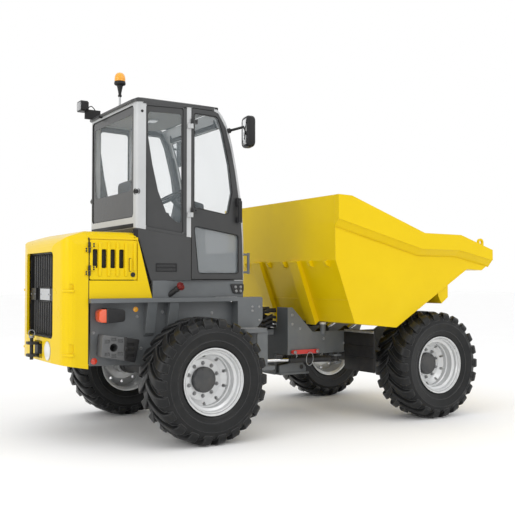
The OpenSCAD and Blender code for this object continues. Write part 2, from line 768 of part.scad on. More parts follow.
// Tanks at the front corners of the rear frame
module side_tanks() {
    z0 = deck_z - tank_h;
    color([0.45, 0.46, 0.47]) both_sides() along_y(rear_plate_hw, deck_hw) polygon(rounded([
        [tank_x, z0, 0], [tank_x + tank_l - 60, z0, 30], [tank_x + tank_l, z0 + 70, 30],
        [tank_x + tank_l, deck_z, 20], [tank_x, deck_z, 0]]));
}
// Access steps below the tanks and a grab rail at each front corner of the cab
module steps() {
    z1 = deck_z - tank_h;
    upper_x = tank_x - 60;
    lower_x = tank_x + 60;
    out = deck_hw + 235;
    rail_y = cab_hw - 70;
    rail_r = 14;
    color([0.7, 0.71, 0.72]) both_sides() {
        along_z(z1 - 40, z1) polygon(round_box(upper_x, deck_hw - 90, upper_x + 270, out, 30));
        along_z(axle_z + 40, axle_z + 75) polygon(round_box(lower_x, deck_hw + 30, lower_x + 240, out, 30));
        for (y = [deck_hw + 45, out - 27]) block(lower_x + 30, lower_x + 150, y, y + 12, axle_z + 50, z1 - 20);
        difference() {
            for (z = [cab_z + 85, cab_z + 265]) pin_x(rail_y, z, cab_front_x - 60, cab_front_x + 62, rail_r - 3);
            cab_form(0);
        }
        pin_z(cab_front_x + 62, rail_y, cab_z + 68, cab_z + 282, rail_r);
    }
}
// Tow jaw with its pin, through the tail cover
module tow_jaw() {
    base = split_x + 40;
    z = art_z + 120;
    color([0.12, 0.12, 0.12]) {
        block(tail_end + 90, base, -50, 50, z - 45, z + 45);
        for (s = [-70, 45]) along_z(z + s, z + s + 25)
            polygon(round_box(tail_end, -65, tail_end + 110, 65, 40));
        pin_z(tail_end + 45, 0, z - 100, z + 110, 17);
    }
}
// Two wheel chocks side by side in a bracket on the right side plate
module wheel_chocks() {
    x = split_x + 100;
    z = frame_z + 70;
    y0 = -rear_plate_hw - chock_w;
    y1 = -rear_plate_hw - 8;
    color([0.2, 0.2, 0.2]) {
        difference() {
            along_y(y0, y1) polygon(rounded([
                [x - 4, z + 41, 14], [x + 328, z - 29, 14], [x + 373, z + 184, 14], [x + 11, z + 240, 14]]));
            pin_y(x + 240, z + 100, y0 - past, y1 + past, 42);
            block(x + 138, x + 143, y0 - past, y0 + 40, z - 60, z + 260);
        }
        block(x + 70, x + 170, y1 - 5, -rear_plate_hw, z + 60, z + 180);
    }
}
// Rear lamps in long housings along the frame's side plates
module tail_lamps() {
    x = split_x + 160;
    z = deck_z - 157;
    lamp_w = 130;
    color([0.8, 0.1, 0.05]) both_sides() {
        along_y(rear_plate_hw, rear_plate_hw + lamp_w) polygon(rounded([
            [x, z - 67, 0], [x + 170, z - 55, 30], [x + 170, z + 55, 30], [x, z + 67, 0]]));
        along_y(rear_plate_hw + 4, rear_plate_hw + lamp_w - 4) polygon(rounded([
            [x - 80, z - 60, 38], [x + 3, z - 63, 0], [x + 3, z + 63, 0], [x - 80, z + 60, 38]]));
    }
}
// Fuel filler: neck leaning out of the strip under the cab, and its cap
module filler_cap() {
    root = [rear_x - 200, -hood_hw + 44, deck_z + 4];
    head = [rear_x - 115, -hood_hw - 80, deck_z + 105];
    lift = unit(head - root);
    color([0.7, 0.08, 0.06]) {
        difference() {
            tube_between(root, head, 26);
            block(rear_x - 400, rear_x, -hood_hw, 0, deck_z - 200, cab_z);
        }
        tube_between(head - 8 * lift, head + 32 * lift, 45);
    }
}
// Blank number plate on the grille and blank disc on the tail cover
module blank_plates() {
    disc_r = 88;
    color([0.85, 0.85, 0.85]) {
        block(grille_x - 6, grille_x, -plate_hw, plate_hw, plate_z0, plate_z0 + plate_h);
        pin_x(-290, frame_z + 150, tail_x - 5, tail_x, disc_r);
    }
}

// Yoke between the frames: oscillation shaft behind, articulation hub and pin in front
module pivot_yoke() {
    back = bulkhead_x - 60;
    arm_in = 18 + 22;
    color([0.1, 0.1, 0.11]) {
        pin_x(0, art_z, back, art_x - 60, osc_r);
        pin_x(0, art_z, art_x - 190, art_x - 150, osc_r + 55);
        block(art_x - 155, art_x, -90, 90, art_z - 150, yoke_top - 15);
        pin_z(art_x, 0, art_z - 165, yoke_top, 95);
        pin_z(art_x, 0, art_z - 240, art_z + 240, art_pin_r);
        for (z = [steer_z - 46, steer_z + 28]) both_sides() along_z(z, z + 18) {
            polygon([[art_x - 110, 0], [art_x - 60, 0], [steer_bx + 38, steer_by], [steer_bx - 38, steer_by]]);
            translate([steer_bx, steer_by]) circle(r = 38);
        }
    }
}

// Front frame: articulation ears, uprights, side plates and skip pivots
module front_chassis() {
    in = front_plate_hw - plate_t;
    top = frame_z + 240;
    upright_z = frame_z + 510;
    back = front_plate_x - plate_t;
    boss_r = tip_pin_r + 45;
    nose_x = tip_x + 60;
    keel_hw = 200;
    belly = frame_z - 235;
    pad_x = rear_x + 1787;
    color([0.44, 0.45, 0.46]) difference() {
        union() {
            both_sides() along_y(in, front_plate_hw) polygon([
                [back, frame_z], [back, upright_z], [back + 60, upright_z], [back + 330, top],
                [tip_x - 480, top], [tip_x - 90, tip_z + 60], [nose_x + 20, tip_z + 60], [nose_x + 20, tip_z - 100],
                [front_x + 140, frame_z]]);
            along_x(back, front_plate_x) polygon([
                [-front_plate_hw, frame_z], [-front_plate_hw, upright_z], [-250, upright_z], [-250, art_z + 250],
                [250, art_z + 250], [250, upright_z], [front_plate_hw, upright_z], [front_plate_hw, frame_z],
                [keel_hw, frame_z], [keel_hw, belly], [-keel_hw, belly], [-keel_hw, frame_z]]);
            for (z = [art_z - 230, art_z + 172]) along_z(z, z + 58) {
                translate([art_x, 0]) circle(r = 100);
                polygon([[art_x, -100], [art_x, 100], [back, 180], [front_plate_x, 180], [front_plate_x, -180],
                    [back, -180]]);
            }
            block(front_plate_x, ram_x + 90, -ram_y - 90, ram_y + 90, belly, belly + 20);
            both_sides() for (y = [ram_y - 72, ram_y + 47]) along_y(y, y + plate_t) polygon([
                [front_plate_x - 5, belly + 10], [front_plate_x - 5, ram_z + 30], [ram_x - 60, ram_z + 60],
                [ram_x + 10, ram_z + 60], [ram_x + 60, ram_z], [ram_x + 60, belly + 10]]);
            block(front_x - 300, front_x - 275, -in, in, frame_z, frame_z + 150);
            pin_y(front_x + 190, frame_z + 120, -in, in, 55);
            both_sides() {
                pin_y(tip_x, tip_z, in - 10, front_plate_hw + 25, boss_r);
                pin_z(pad_x, in + plate_t / 2, top - 30, skip_z + 42, 30);
                for (z = [steer_z - 46, steer_z + 28]) along_z(z, z + 18)
                    polygon(round_box(steer_fx - 45, in - 40, steer_fx + 60, steer_fy + 45, 30));
                block(steer_fx + 40, steer_fx + 60, in - 20, front_plate_hw, steer_z - 46, frame_z + 10);
            }
        }
        pin_z(art_x, 0, art_z - 260, art_z + 260, art_pin_r + fit);
        pin_y(tip_x, tip_z, -front_plate_hw - 60, front_plate_hw + 60, tip_pin_r + fit);
        pin_y(ram_x, ram_z, -ram_y - 120, ram_y + 120, 25 + fit);
        both_sides() pin_z(steer_fx, steer_fy, steer_z - 80, steer_z + 80, 18 + fit);
    }
}
// Rubber flaps behind the front wheels
module mudflaps() {
    x = front_x - 735;
    color([0.05, 0.05, 0.05]) both_sides() {
        block(x, x + 14, front_plate_hw + 6, wheel_y - 20, frame_z - 190, skip_z - 40);
        block(x - 4, x + 40, front_plate_hw, front_plate_hw + 14, frame_z + 20, frame_z + 220);
    }
}
// Articulation lock bar stowed on the right side plate
module lock_bar() {
    y = -front_plate_hw;
    x0 = front_plate_x + 10;
    color([0.75, 0.08, 0.06]) {
        along_y(y - 32, y - 8) polygon(round_box(x0, frame_z + 8, x0 + 360, frame_z + 52, 20));
        for (x = [x0 + 30, x0 + 325]) pin_y(x, frame_z + 30, y - 48, y, 12);
    }
}

// Side outline of the skip, drawn in by t and open above
function slope_z(x) = skip_z + (x - skip_toe_x) * slope;
function skip_outer() = [
    [skip_back_x, skip_z + skip_h], [skip_back_x + 10, fold_z], [skip_foot_x, foot_z], [skip_toe_x, skip_z],
    [skip_nose_x, nose_z], [lip_x - 110, nose_z - 13], [lip_x, skip_z + 690], [lip_x, lip_top_z],
    [shelf_x, shelf_z], [dip_x, shelf_z + 5], [brow_x, skip_z + skip_h - 6]];
function skip_inner(t) = [
    [skip_back_x + t, skip_z + skip_h + 200], [skip_back_x + 10 + t, fold_z + 2], [skip_foot_x + t, foot_z + t],
    [skip_toe_x - 4, skip_z + t], [skip_nose_x - 4, nose_z + t], [lip_x - 116, nose_z - 13 + t],
    [lip_x + past, skip_z + 690 + t + past], [lip_x + past, skip_z + skip_h + 200]];
module skip() {
    ear_y0 = front_plate_hw - 85;
    ear_y1 = front_plate_hw - 46;
    rib_y0 = 300;
    rib_y1 = 470;
    eye_r = 48;
    color([0.95, 0.74, 0.06]) difference() {
        union() {
            difference() {
                along_y(-skip_hw, skip_hw) polygon(skip_outer());
                along_y(-skip_hw + skip_t, skip_hw - skip_t) polygon(skip_inner(skip_t));
            }
            both_sides() along_y(rib_y0, rib_y1) polygon([
                [skip_back_x - 40, fold_z - 5], [skip_back_x + 16, fold_z + 12], [skip_foot_x + 5, foot_z + 5],
                [skip_foot_x - 45, foot_z - 40]]);
            along_y(-skip_hw + skip_t, skip_hw - skip_t) polygon([
                [tip_x - 90, slope_z(tip_x - 90) + 4], [tip_x - 90, slope_z(tip_x - 90) - 40], [tip_x - 40, skip_z + 245],
                [tip_x + 60, skip_z + 315], [tip_x + 60, slope_z(tip_x + 60) + 4]]);
            both_sides() {
                along_y(ear_y0, ear_y1) {
                    polygon([[tip_x - 150, slope_z(tip_x - 150) + 4], [tip_x - tip_pin_r - 40, tip_z],
                        [tip_x + tip_pin_r + 40, tip_z], [tip_x + 130, slope_z(tip_x + 130) + 4]]);
                    translate([tip_x, tip_z]) circle(r = tip_pin_r + 40);
                }
                pin_y(tip_x, tip_z, ear_y0 - 12, front_plate_hw + 40, tip_pin_r);
                for (y = [ram_y - 58, ram_y + 34]) along_y(y, y + 24) {
                    polygon([[eye_x - 90, slope_z(eye_x - 90) + 4], [eye_x - eye_r, eye_z], [eye_x + eye_r, eye_z],
                        [eye_x + 120, slope_z(eye_x + 120) + 4]]);
                    translate([eye_x, eye_z]) circle(r = eye_r);
                }
            }
        }
        both_sides() pin_y(eye_x, eye_z, ram_y - 70, ram_y + 70, 20);
    }
}
// Folded rim band outside the side plates: upright face, underside sloping in to the plate, and a lifting hoop
module skip_rim() {
    rear = skip_back_x - 4;
    rim_fall = (shelf_z - lip_top_z) / (lip_x - shelf_x);
    eye_at = lip_x - 170;
    rim_eye_z = shelf_z - (eye_at - shelf_x) * rim_fall + 32;
    top = [[rear, skip_z + skip_h], [brow_x, skip_z + skip_h - 6], [dip_x, shelf_z + 5], [shelf_x, shelf_z],
        [lip_x, lip_top_z]];
    low = [[lip_x, lip_top_z - 121], [shelf_x - 30, shelf_z - 175], [dip_x - 40, shelf_z - 173],
        [skip_back_x + 40, skip_z + 1118], [rear, skip_z + 1125]];
    color([0.95, 0.74, 0.06]) both_sides() {
        along_y(skip_hw, skip_hw + rim_band) polygon(concat(top, low));
        fold_under(low);
        translate([eye_at, skip_hw + rim_band / 2 + 12, rim_eye_z]) rotate([90, 0, 0]) difference() {
            union() {
                cylinder(r = 44, h = 24);
                translate([-44, -60, 0]) cube([88, 60, 24]);
            }
            translate([0, 0, -past]) cylinder(r = 22, h = 64);
        }
    }
}
// Sloped underside of the rim band along the points of its lower edge, front to rear
module fold_under(edge) {
    sunk = 10;
    out = skip_hw + rim_band - 6;
    points = [for (p = edge) each [
        [p[0], skip_hw, p[1] + sunk], [p[0], out, p[1] + sunk], [p[0], out, p[1] + 4], [p[0], skip_hw, p[1] - rim_drop]]];
    last = 4 * (len(edge) - 1);
    sides = [for (i = [0 : len(edge) - 2]) for (k = [0 : 3])
        [4 * i + (k + 1) % 4, 4 * i + k, 4 * (i + 1) + k, 4 * (i + 1) + (k + 1) % 4]];
    polyhedron(points, concat([[0, 1, 2, 3], [last + 3, last + 2, last + 1, last]], sides));
}

// Tipping cylinders, laid along the line from their foot pin to the skip's eye
module ram_line() {
    both_sides() translate([ram_x, ram_y, ram_z]) rotate([0, -ram_a, 0]) children();
}
module tip_barrels() {
    foot_r = 42;
    color([0.1, 0.1, 0.11]) ram_line() difference() {
        union() {
            translate([0, 32, 0]) rotate([90, 0, 0]) cylinder(r = foot_r, h = 64);
            translate([0, 74, 0]) rotate([90, 0, 0]) cylinder(r = 25, h = 148);
            rotate([0, 90, 0]) cylinder(r = 28, h = 120);
            translate([95, 0, 0]) rotate([0, 90, 0]) cylinder(r = tip_barrel_r, h = barrel_l - 95);
        }
        translate([390, 0, 0]) rotate([0, 90, 0]) cylinder(r = tip_rod_r + fit, h = barrel_l);
    }
}
module tip_rods() {
    head_r = 40;
    color([0.8, 0.8, 0.8]) ram_line() difference() {
        union() {
            translate([420, 0, 0]) rotate([0, 90, 0]) cylinder(r = tip_rod_r, h = ram_l - 445);
            translate([ram_l, 28, 0]) rotate([90, 0, 0]) cylinder(r = head_r, h = 56);
        }
        translate([ram_l, 60, 0]) rotate([90, 0, 0]) cylinder(r = 20, h = 120);
    }
}
// Steering cylinders from the front frame back to the yoke's arms, right one drawn
module steer_line() {
    translate([steer_fx, -steer_fy, steer_z]) rotate([0, 0, 180 - steer_a]) children();
}
module steer_barrel() {
    color([0.07, 0.07, 0.07]) steer_line() difference() {
        union() {
            translate([0, 0, -steer_eye]) cylinder(r = 32, h = 2 * steer_eye);
            translate([0, 0, -52]) cylinder(r = 18, h = 104);
            rotate([0, 90, 0]) cylinder(r = 19, h = 90);
            translate([75, 0, 0]) rotate([0, 90, 0]) cylinder(r = steer_barrel_r, h = steer_barrel_l - 75);
        }
        translate([150, 0, 0]) rotate([0, 90, 0]) cylinder(r = steer_rod_r + fit, h = steer_barrel_l);
    }
}
module steer_rod() {
    color([0.8, 0.8, 0.8]) steer_line() difference() {
        union() {
            translate([330, 0, 0]) rotate([0, 90, 0]) cylinder(r = steer_rod_r, h = steer_l - 350);
            translate([steer_l, 0, -steer_eye]) cylinder(r = 34, h = 2 * steer_eye);
        }
        translate([steer_l, 0, -40]) cylinder(r = 16, h = 80);
    }
}
module steer_barrel_right() steer_barrel();
module steer_rod_right() steer_rod();
module steer_barrel_left() mirror([0, 1, 0]) steer_barrel();
module steer_rod_left() mirror([0, 1, 0]) steer_rod();

// Wheels drawn at the origin with the outer face towards -Y, then set in place
module at_wheel(x, side) {
    translate([x, side * wheel_y, axle_z]) mirror([0, side > 0 ? 1 : 0, 0]) rotate([90, 0, 0]) children();
}
// Tyre as rings of points round the axis: each shoulder's lugs sweep from the middle out to the sidewall
function lug_top(c) = c % 3 < 2;
function tyre_ring(row, c) = let (
    r = tyre_d / 2, w = tyre_w / 2, bead = rim_w / 2 - 18, pitch = 360 / lugs, side = row < 6 ? 1 : -1,
    k = row < 6 ? row : 11 - row, in = (seat_r + 1) / cos(pitch / 6), lip = rim_d / 2 + 6, up = lug_top(c),
    place = [in, lip, r - 95, r - (up ? 0 : lug_h), r - (up ? 0 : lug_h), r - lug_h + 6],
    out = [bead, bead + (k == 1 ? 2 : 0), up ? w : w - 12, up ? w - 40 : w - 44, 22, 0],
    sweep = [1.1, 1.1, 1.1, 1, 0, 0],
    share = (c % 3 == 0 ? 0 : c % 3 == 1 ? 0.5 : 0.75) + floor(c / 3),
    a = pitch * ((k > 4 || k < 2 ? c / 3 : share) + sweep[k] + (side < 0 && k > 1 && k < 5 ? 0.5 : 0)) - 90)
    [place[k] * cos(a), place[k] * sin(a), side * out[k]];
module tyre() {
    columns = 3 * lugs;
    rows = 11;
    function ring_of(i) = i < 6 ? i : i + 1;
    points = [for (i = [0 : rows - 1]) for (c = [0 : columns - 1]) tyre_ring(ring_of(i), c)];
    function at(i, c) = (i % rows) * columns + (c + columns) % columns;
    faces = [for (i = [0 : rows - 1]) for (c = [0 : columns - 1])
        each [[at(i, c), at(i, c + 1), at(i + 1, c)], [at(i, c + 1), at(i + 1, c + 1), at(i + 1, c)]]];
    color([0.06, 0.06, 0.06]) polyhedron(points, faces);
}
module rim() {
    half = rim_w / 2;
    lip = rim_d / 2;
    hub_r = 118;
    disc_t = 24;
    barrel_r = seat_r - 14;
    color([0.75, 0.76, 0.77]) difference() {
        rotate_extrude($fn = 96) polygon([
            [0, 30], [hub_r - 20, 30], [hub_r, 10], [hub_r, -disc_t / 2], [190, -disc_t / 2], [barrel_r - 34, 24],
            [barrel_r - 34, 66], [barrel_r - 24, 74], [barrel_r - 24, half - 74], [barrel_r, half - 62],
            [barrel_r, half - 34], [barrel_r + 8, half - 20], [lip - 10, half - 12], [lip - 8, half], [lip, half], [lip, half - 14], [seat_r, half - 16],
            [seat_r, -half + 16], [lip, -half + 14], [lip, -half], [lip - 12, -half], [barrel_r, -half + 20],
            [barrel_r, -4], [190, -disc_t / 2 - disc_t], [hub_r, -disc_t / 2 - disc_t], [hub_r, -195], [0, -195]]);
        translate([0, 0, -200]) cylinder(r = hub_bore_r + fit, h = 140);
        for (i = [0 : 9]) rotate([0, 0, 36 * i + 18]) translate([222, 0, -60]) cylinder(r = 16, h = 120, $fn = 24);
    }
}
module tyre_rear_right() at_wheel(rear_x, -1) tyre();
module tyre_rear_left() at_wheel(rear_x, 1) tyre();
module tyre_front_right() at_wheel(front_x, -1) tyre();
module tyre_front_left() at_wheel(front_x, 1) tyre();
module rim_rear_right() at_wheel(rear_x, -1) rim();
module rim_rear_left() at_wheel(rear_x, 1) rim();
module rim_front_right() at_wheel(front_x, -1) rim();
module rim_front_left() at_wheel(front_x, 1) rim();

rear_chassis();
rear_axle();
engine_block();
tail_cover();
rear_grille();
hood_top();
hood_skirts();
cab_skirts();
cab_tub();
cab_posts();
cab_roof();
rear_window();
quarter_windows();
windscreen();
glass_bands();
seat();
console();
steering_wheel();
mirrors();
work_lamps();
beacon();
side_tanks();
steps();
tow_jaw();
wheel_chocks();
tail_lamps();
filler_cap();
blank_plates();
door_right();
door_glass_right();
door_left();
door_glass_left();
side_door_right();
side_door_left();
pivot_yoke();
front_chassis();
front_axle();
mudflaps();
lock_bar();
skip();
skip_rim();
tip_barrels();
tip_rods();
steer_barrel_right();
steer_rod_right();
steer_barrel_left();
steer_rod_left();
tyre_rear_right();
tyre_rear_left();
tyre_front_right();
tyre_front_left();
rim_rear_right();
rim_rear_left();
rim_front_right();
rim_front_left();
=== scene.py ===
import math
import random
import bpy
from mathutils import Vector, Matrix


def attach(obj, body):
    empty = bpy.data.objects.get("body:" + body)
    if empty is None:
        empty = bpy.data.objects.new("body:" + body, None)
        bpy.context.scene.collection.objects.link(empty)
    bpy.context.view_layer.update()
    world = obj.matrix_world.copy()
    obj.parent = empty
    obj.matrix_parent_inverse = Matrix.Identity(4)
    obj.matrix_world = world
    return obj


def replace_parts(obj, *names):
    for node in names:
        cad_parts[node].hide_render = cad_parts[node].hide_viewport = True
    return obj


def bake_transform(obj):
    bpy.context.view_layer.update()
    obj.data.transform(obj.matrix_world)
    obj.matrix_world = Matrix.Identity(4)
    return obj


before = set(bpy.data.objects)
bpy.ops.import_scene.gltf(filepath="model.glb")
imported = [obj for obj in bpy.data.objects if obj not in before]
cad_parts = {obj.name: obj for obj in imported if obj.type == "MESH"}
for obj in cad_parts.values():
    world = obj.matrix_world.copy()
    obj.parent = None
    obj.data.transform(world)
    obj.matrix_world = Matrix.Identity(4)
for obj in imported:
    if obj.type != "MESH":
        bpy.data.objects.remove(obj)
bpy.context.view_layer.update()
random.seed(11)
print("frame loaded", len(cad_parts), "nodes")


# small modelling helpers
def deselectAll():
    if bpy.context.object and bpy.context.object.mode != "OBJECT":
        bpy.ops.object.mode_set(mode="OBJECT")
    bpy.ops.object.select_all(action="DESELECT")


def only(obj):
    deselectAll()
    obj.select_set(True)
    bpy.context.view_layer.objects.active = obj
    return obj


def editMode(obj, mode="VERT"):
    only(obj)
    bpy.ops.object.mode_set(mode="EDIT")
    bpy.ops.mesh.select_mode(type=mode)


def objectMode():
    bpy.ops.object.mode_set(mode="OBJECT")


def applyPlace(obj):
    only(obj)
    bpy.ops.object.transform_apply(location=True, rotation=True, scale=True)
    return obj


def applyMod(obj, kind, **settings):
    only(obj)
    mod = obj.modifiers.new(kind.title(), kind)
    for key, value in settings.items():
        setattr(mod, key, value)
    bpy.ops.object.modifier_apply(modifier=mod.name)
    return obj


def bevelEdges(obj, width, segments=2, angle=35):
    return applyMod(obj, "BEVEL", width=width, segments=segments, limit_method="ANGLE",
                    angle_limit=math.radians(angle), harden_normals=False)


def cleanMesh(obj, distance=0.0002):
    editMode(obj)
    bpy.ops.mesh.select_all(action="SELECT")
    bpy.ops.mesh.remove_doubles(threshold=distance)
    bpy.ops.mesh.normals_make_consistent(inside=False)
    objectMode()
    return obj


def boxPiece(name, low, high, bevel=0.004, segments=2):
    deselectAll()
    mid = [(a + b) / 2 for a, b in zip(low, high)]
    bpy.ops.mesh.primitive_cube_add(size=1, location=mid)
    obj = bpy.context.object
    obj.name = name
    obj.scale = [abs(b - a) for a, b in zip(low, high)]
    applyPlace(obj)
    if bevel:
        bevelEdges(obj, bevel, segments)
    return obj


def axisTurn(axis):
    return Vector((0, 0, 1)).rotation_difference(Vector(axis).normalized()).to_euler()


def rodPiece(name, start, end, radius, sides=24, bevel=0.003, segments=2):
    deselectAll()
    a, b = Vector(start), Vector(end)
    bpy.ops.mesh.primitive_cylinder_add(vertices=sides, radius=radius, depth=(b - a).length,
                                        location=(a + b) / 2, rotation=axisTurn(b - a))
    obj = bpy.context.object
    obj.name = name
    applyPlace(obj)
    if bevel:
        bevelEdges(obj, bevel, segments)
    return obj


def lathePiece(name, profile, centre, axis, steps=48):
    # one vertex is pulled along the profile (radius, height) and spun round the axis
    deselectAll()
    bpy.ops.mesh.primitive_plane_add(size=0.01)
    obj = bpy.context.object
    obj.name = name
    editMode(obj)
    bpy.ops.mesh.select_all(action="SELECT")
    bpy.ops.mesh.merge(type="CENTER")
    bpy.ops.transform.translate(value=(profile[0][0], 0, profile[0][1]))
    for before, after in zip(profile, profile[1:]):
        bpy.ops.mesh.extrude_region_move(
            TRANSFORM_OT_translate={"value": (after[0] - before[0], 0, after[1] - before[1])})
    bpy.ops.mesh.select_all(action="SELECT")
    bpy.ops.mesh.spin(steps=steps, angle=2 * math.pi, center=(0, 0, 0), axis=(0, 0, 1))
    bpy.ops.mesh.select_all(action="SELECT")
    bpy.ops.mesh.remove_doubles(threshold=0.00005)
    bpy.ops.mesh.normals_make_consistent(inside=False)
    objectMode()
    obj.rotation_euler = axisTurn(axis)
    obj.location = centre
    return applyPlace(obj)


def pipePiece(name, points, radius, closed=False, sides=3, smooth=True):
    deselectAll()
    curve = bpy.data.curves.new(name, "CURVE")
    curve.dimensions = "3D"
    curve.bevel_depth = radius
    curve.bevel_resolution = sides
    curve.resolution_u = 8
    curve.use_fill_caps = not closed
    if smooth:
        line = curve.splines.new("BEZIER")
        line.bezier_points.add(len(points) - 1)
        for knot, point in zip(line.bezier_points, points):
            knot.co = point
            knot.handle_left_type = knot.handle_right_type = "AUTO"
    else:
        line = curve.splines.new("POLY")
        line.points.add(len(points) - 1)
        for knot, point in zip(line.points, points):
            knot.co = (*point, 1)
    line.use_cyclic_u = closed
    obj = bpy.data.objects.new(name, curve)
    bpy.context.collection.objects.link(obj)
    only(obj)
    bpy.ops.object.convert(target="MESH")
    obj = bpy.context.object
    obj.name = name
    return cleanMesh(obj, 0.00005)


def joinPieces(pieces, name):
    deselectAll()
    for piece in pieces:
        piece.select_set(True)
    bpy.context.view_layer.objects.active = pieces[0]
    if len(pieces) > 1:
        bpy.ops.object.join()
    obj = bpy.context.object
    obj.name = name
    obj.data.name = name
    return obj


def copyPiece(obj, name, move=(0, 0, 0), mirrorY=False):
    twin = obj.copy()
    twin.data = obj.data.copy()
    twin.name = name
    bpy.context.collection.objects.link(twin)
    if mirrorY:
        twin.scale = (1, -1, 1)
    twin.location = move
    applyPlace(twin)
    if mirrorY:
        editMode(twin)
        bpy.ops.mesh.select_all(action="SELECT")
        bpy.ops.mesh.normals_make_consistent(inside=False)
        objectMode()
    return twin


def finishPiece(obj, material, body="rear_frame", angle=40):
    only(obj)
    obj.data.materials.clear()
    obj.data.materials.append(material)
    bpy.ops.object.shade_smooth_by_angle(angle=math.radians(angle))
    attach(obj, body)
    return obj


def prismPiece(name, outline, axis, low, high, bevel=0.003, segments=2):
    # a filled ring of points pulled straight along one axis
    deselectAll()
    bpy.ops.mesh.primitive_circle_add(vertices=len(outline), fill_type="NGON")
    obj = bpy.context.object
    obj.name = name
    for vert, (u, v) in zip(obj.data.vertices, outline):
        vert.co = {"X": (low, u, v), "Y": (u, low, v), "Z": (u, v, low)}[axis]
    editMode(obj)
    bpy.ops.mesh.select_all(action="SELECT")
    step = {"X": (high - low, 0, 0), "Y": (0, high - low, 0), "Z": (0, 0, high - low)}[axis]
    bpy.ops.mesh.extrude_region_move(TRANSFORM_OT_translate={"value": step})
    bpy.ops.mesh.select_all(action="SELECT")
    bpy.ops.mesh.normals_make_consistent(inside=False)
    objectMode()
    if bevel:
        bevelEdges(obj, bevel, segments)
    return obj


def cutPiece(obj, cutter):
    applyMod(obj, "BOOLEAN", object=cutter, operation="DIFFERENCE", solver="EXACT")
    bpy.data.objects.remove(cutter)
    return obj


def turnPiece(obj, place, turn):
    obj.rotation_euler = [math.radians(a) for a in turn]
    obj.location = place
    return applyPlace(obj)


def roundPath(points, steps=5):
    # corners given as u, v, radius become arcs
    path = []
    for i, (u, v, r) in enumerate(points):
        b = Vector((u, v))
        if r <= 0:
            path.append(b)
            continue
        toA = (Vector(points[i - 1][:2]) - b).normalized()
        toC = (Vector(points[(i + 1) % len(points)][:2]) - b).normalized()
        half = toA.angle(toC) / 2
        centre = b + (toA + toC).normalized() * (r / math.sin(half))
        first = b + toA * (r / math.tan(half)) - centre
        last = b + toC * (r / math.tan(half)) - centre
        sweep = first.angle_signed(last)
        for k in range(steps + 1):
            a = math.atan2(first.y, first.x) - sweep * k / steps
            path.append(centre + Vector((math.cos(a), math.sin(a))) * r)
    return [tuple(p) for p in path]


def roundBox(u0, v0, u1, v1, r, steps=5):
    return roundPath([(u0, v0, r), (u1, v0, r), (u1, v1, r), (u0, v1, r)], steps)


def hexBolt(name, place, axis, radius=0.011, height=0.008):
    a, n = Vector(place), Vector(axis).normalized()
    washer = rodPiece(name, a - n * 0.001, a + n * 0.002, radius * 1.45, 20, 0.0006, 1)
    head = rodPiece(name, a, a + n * (0.002 + height), radius, 6, 0.0012, 1)
    return [washer, head]


def bothSides(made, name, material, body="rear_frame", angle=40, replaced=None):
    # modelled on the right, at minus y, and mirrored to the left; a list is joined first
    obj = joinPieces(made, name) if isinstance(made, list) else made
    twin = copyPiece(obj, name + "_left", mirrorY=True)
    obj.name = name + "_right"
    for piece, side in ((obj, "right"), (twin, "left")):
        finishPiece(piece, material, body.replace("SIDE", side), angle)
        if replaced:
            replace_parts(piece, replaced)


def boltRow(name, spots, y, radius, height):
    row = []
    for x, z in spots:
        row += hexBolt(name, (x, y, z), (0, -1, 0), radius, height)
    return row


# materials
def startMaterial(name):
    mat = bpy.data.materials.new(name)
    mat.use_nodes = True
    tree = mat.node_tree
    shader = tree.nodes["Principled BSDF"]
    return mat, tree, shader


def addNode(tree, kind, **settings):
    node = tree.nodes.new(kind)
    for key, value in settings.items():
        if key in node.inputs:
            node.inputs[key].default_value = value
        else:
            setattr(node, key, value)
    return node


def rampNode(tree, source, low, high, left=0.35, right=0.65):
    ramp = addNode(tree, "ShaderNodeValToRGB")
    ramp.color_ramp.elements[0].position = left
    ramp.color_ramp.elements[0].color = (*low, 1)
    ramp.color_ramp.elements[1].position = right
    ramp.color_ramp.elements[1].color = (*high, 1)
    tree.links.new(source, ramp.inputs["Fac"])
    return ramp.outputs["Color"]


def noiseNode(tree, scale, detail=4, rough=0.55, stretch=None):
    coords = addNode(tree, "ShaderNodeTexCoord")
    source = coords.outputs["Object"]
    if stretch:
        mapping = addNode(tree, "ShaderNodeMapping")
        mapping.inputs["Scale"].default_value = stretch
        tree.links.new(source, mapping.inputs["Vector"])
        source = mapping.outputs["Vector"]
    noise = addNode(tree, "ShaderNodeTexNoise", Scale=scale, Detail=detail, Roughness=rough)
    tree.links.new(source, noise.inputs["Vector"])
    return noise.outputs["Fac"]


def rangeNode(tree, source, low, high, fromLow=0.3, fromHigh=0.7):
    span = addNode(tree, "ShaderNodeMapRange")
    span.inputs["From Min"].default_value = fromLow
    span.inputs["From Max"].default_value = fromHigh
    span.inputs["To Min"].default_value = low
    span.inputs["To Max"].default_value = high
    tree.links.new(source, span.inputs["Value"])
    return span.outputs["Result"]


def mixNode(tree, factor, first, second):
    mix = addNode(tree, "ShaderNodeMix", data_type="RGBA")
    tree.links.new(factor, mix.inputs["Factor"])
    for socket, value in ((mix.inputs[6], first), (mix.inputs[7], second)):
        if isinstance(value, tuple):
            socket.default_value = (*value, 1)
        else:
            tree.links.new(value, socket)
    return mix.outputs[2]


def mathNode(tree, operation, first, second):
    node = addNode(tree, "ShaderNodeMath", operation=operation)
    for socket, value in zip(node.inputs, (first, second)):
        if isinstance(value, (int, float)):
            socket.default_value = value
        else:
            tree.links.new(value, socket)
    return node.outputs[0]


def bumpNode(tree, height, strength, distance, normal=None):
    bump = addNode(tree, "ShaderNodeBump", Strength=strength, Distance=distance)
    tree.links.new(height, bump.inputs["Height"])
    if normal:
        tree.links.new(normal, bump.inputs["Normal"])
    return bump.outputs["Normal"]


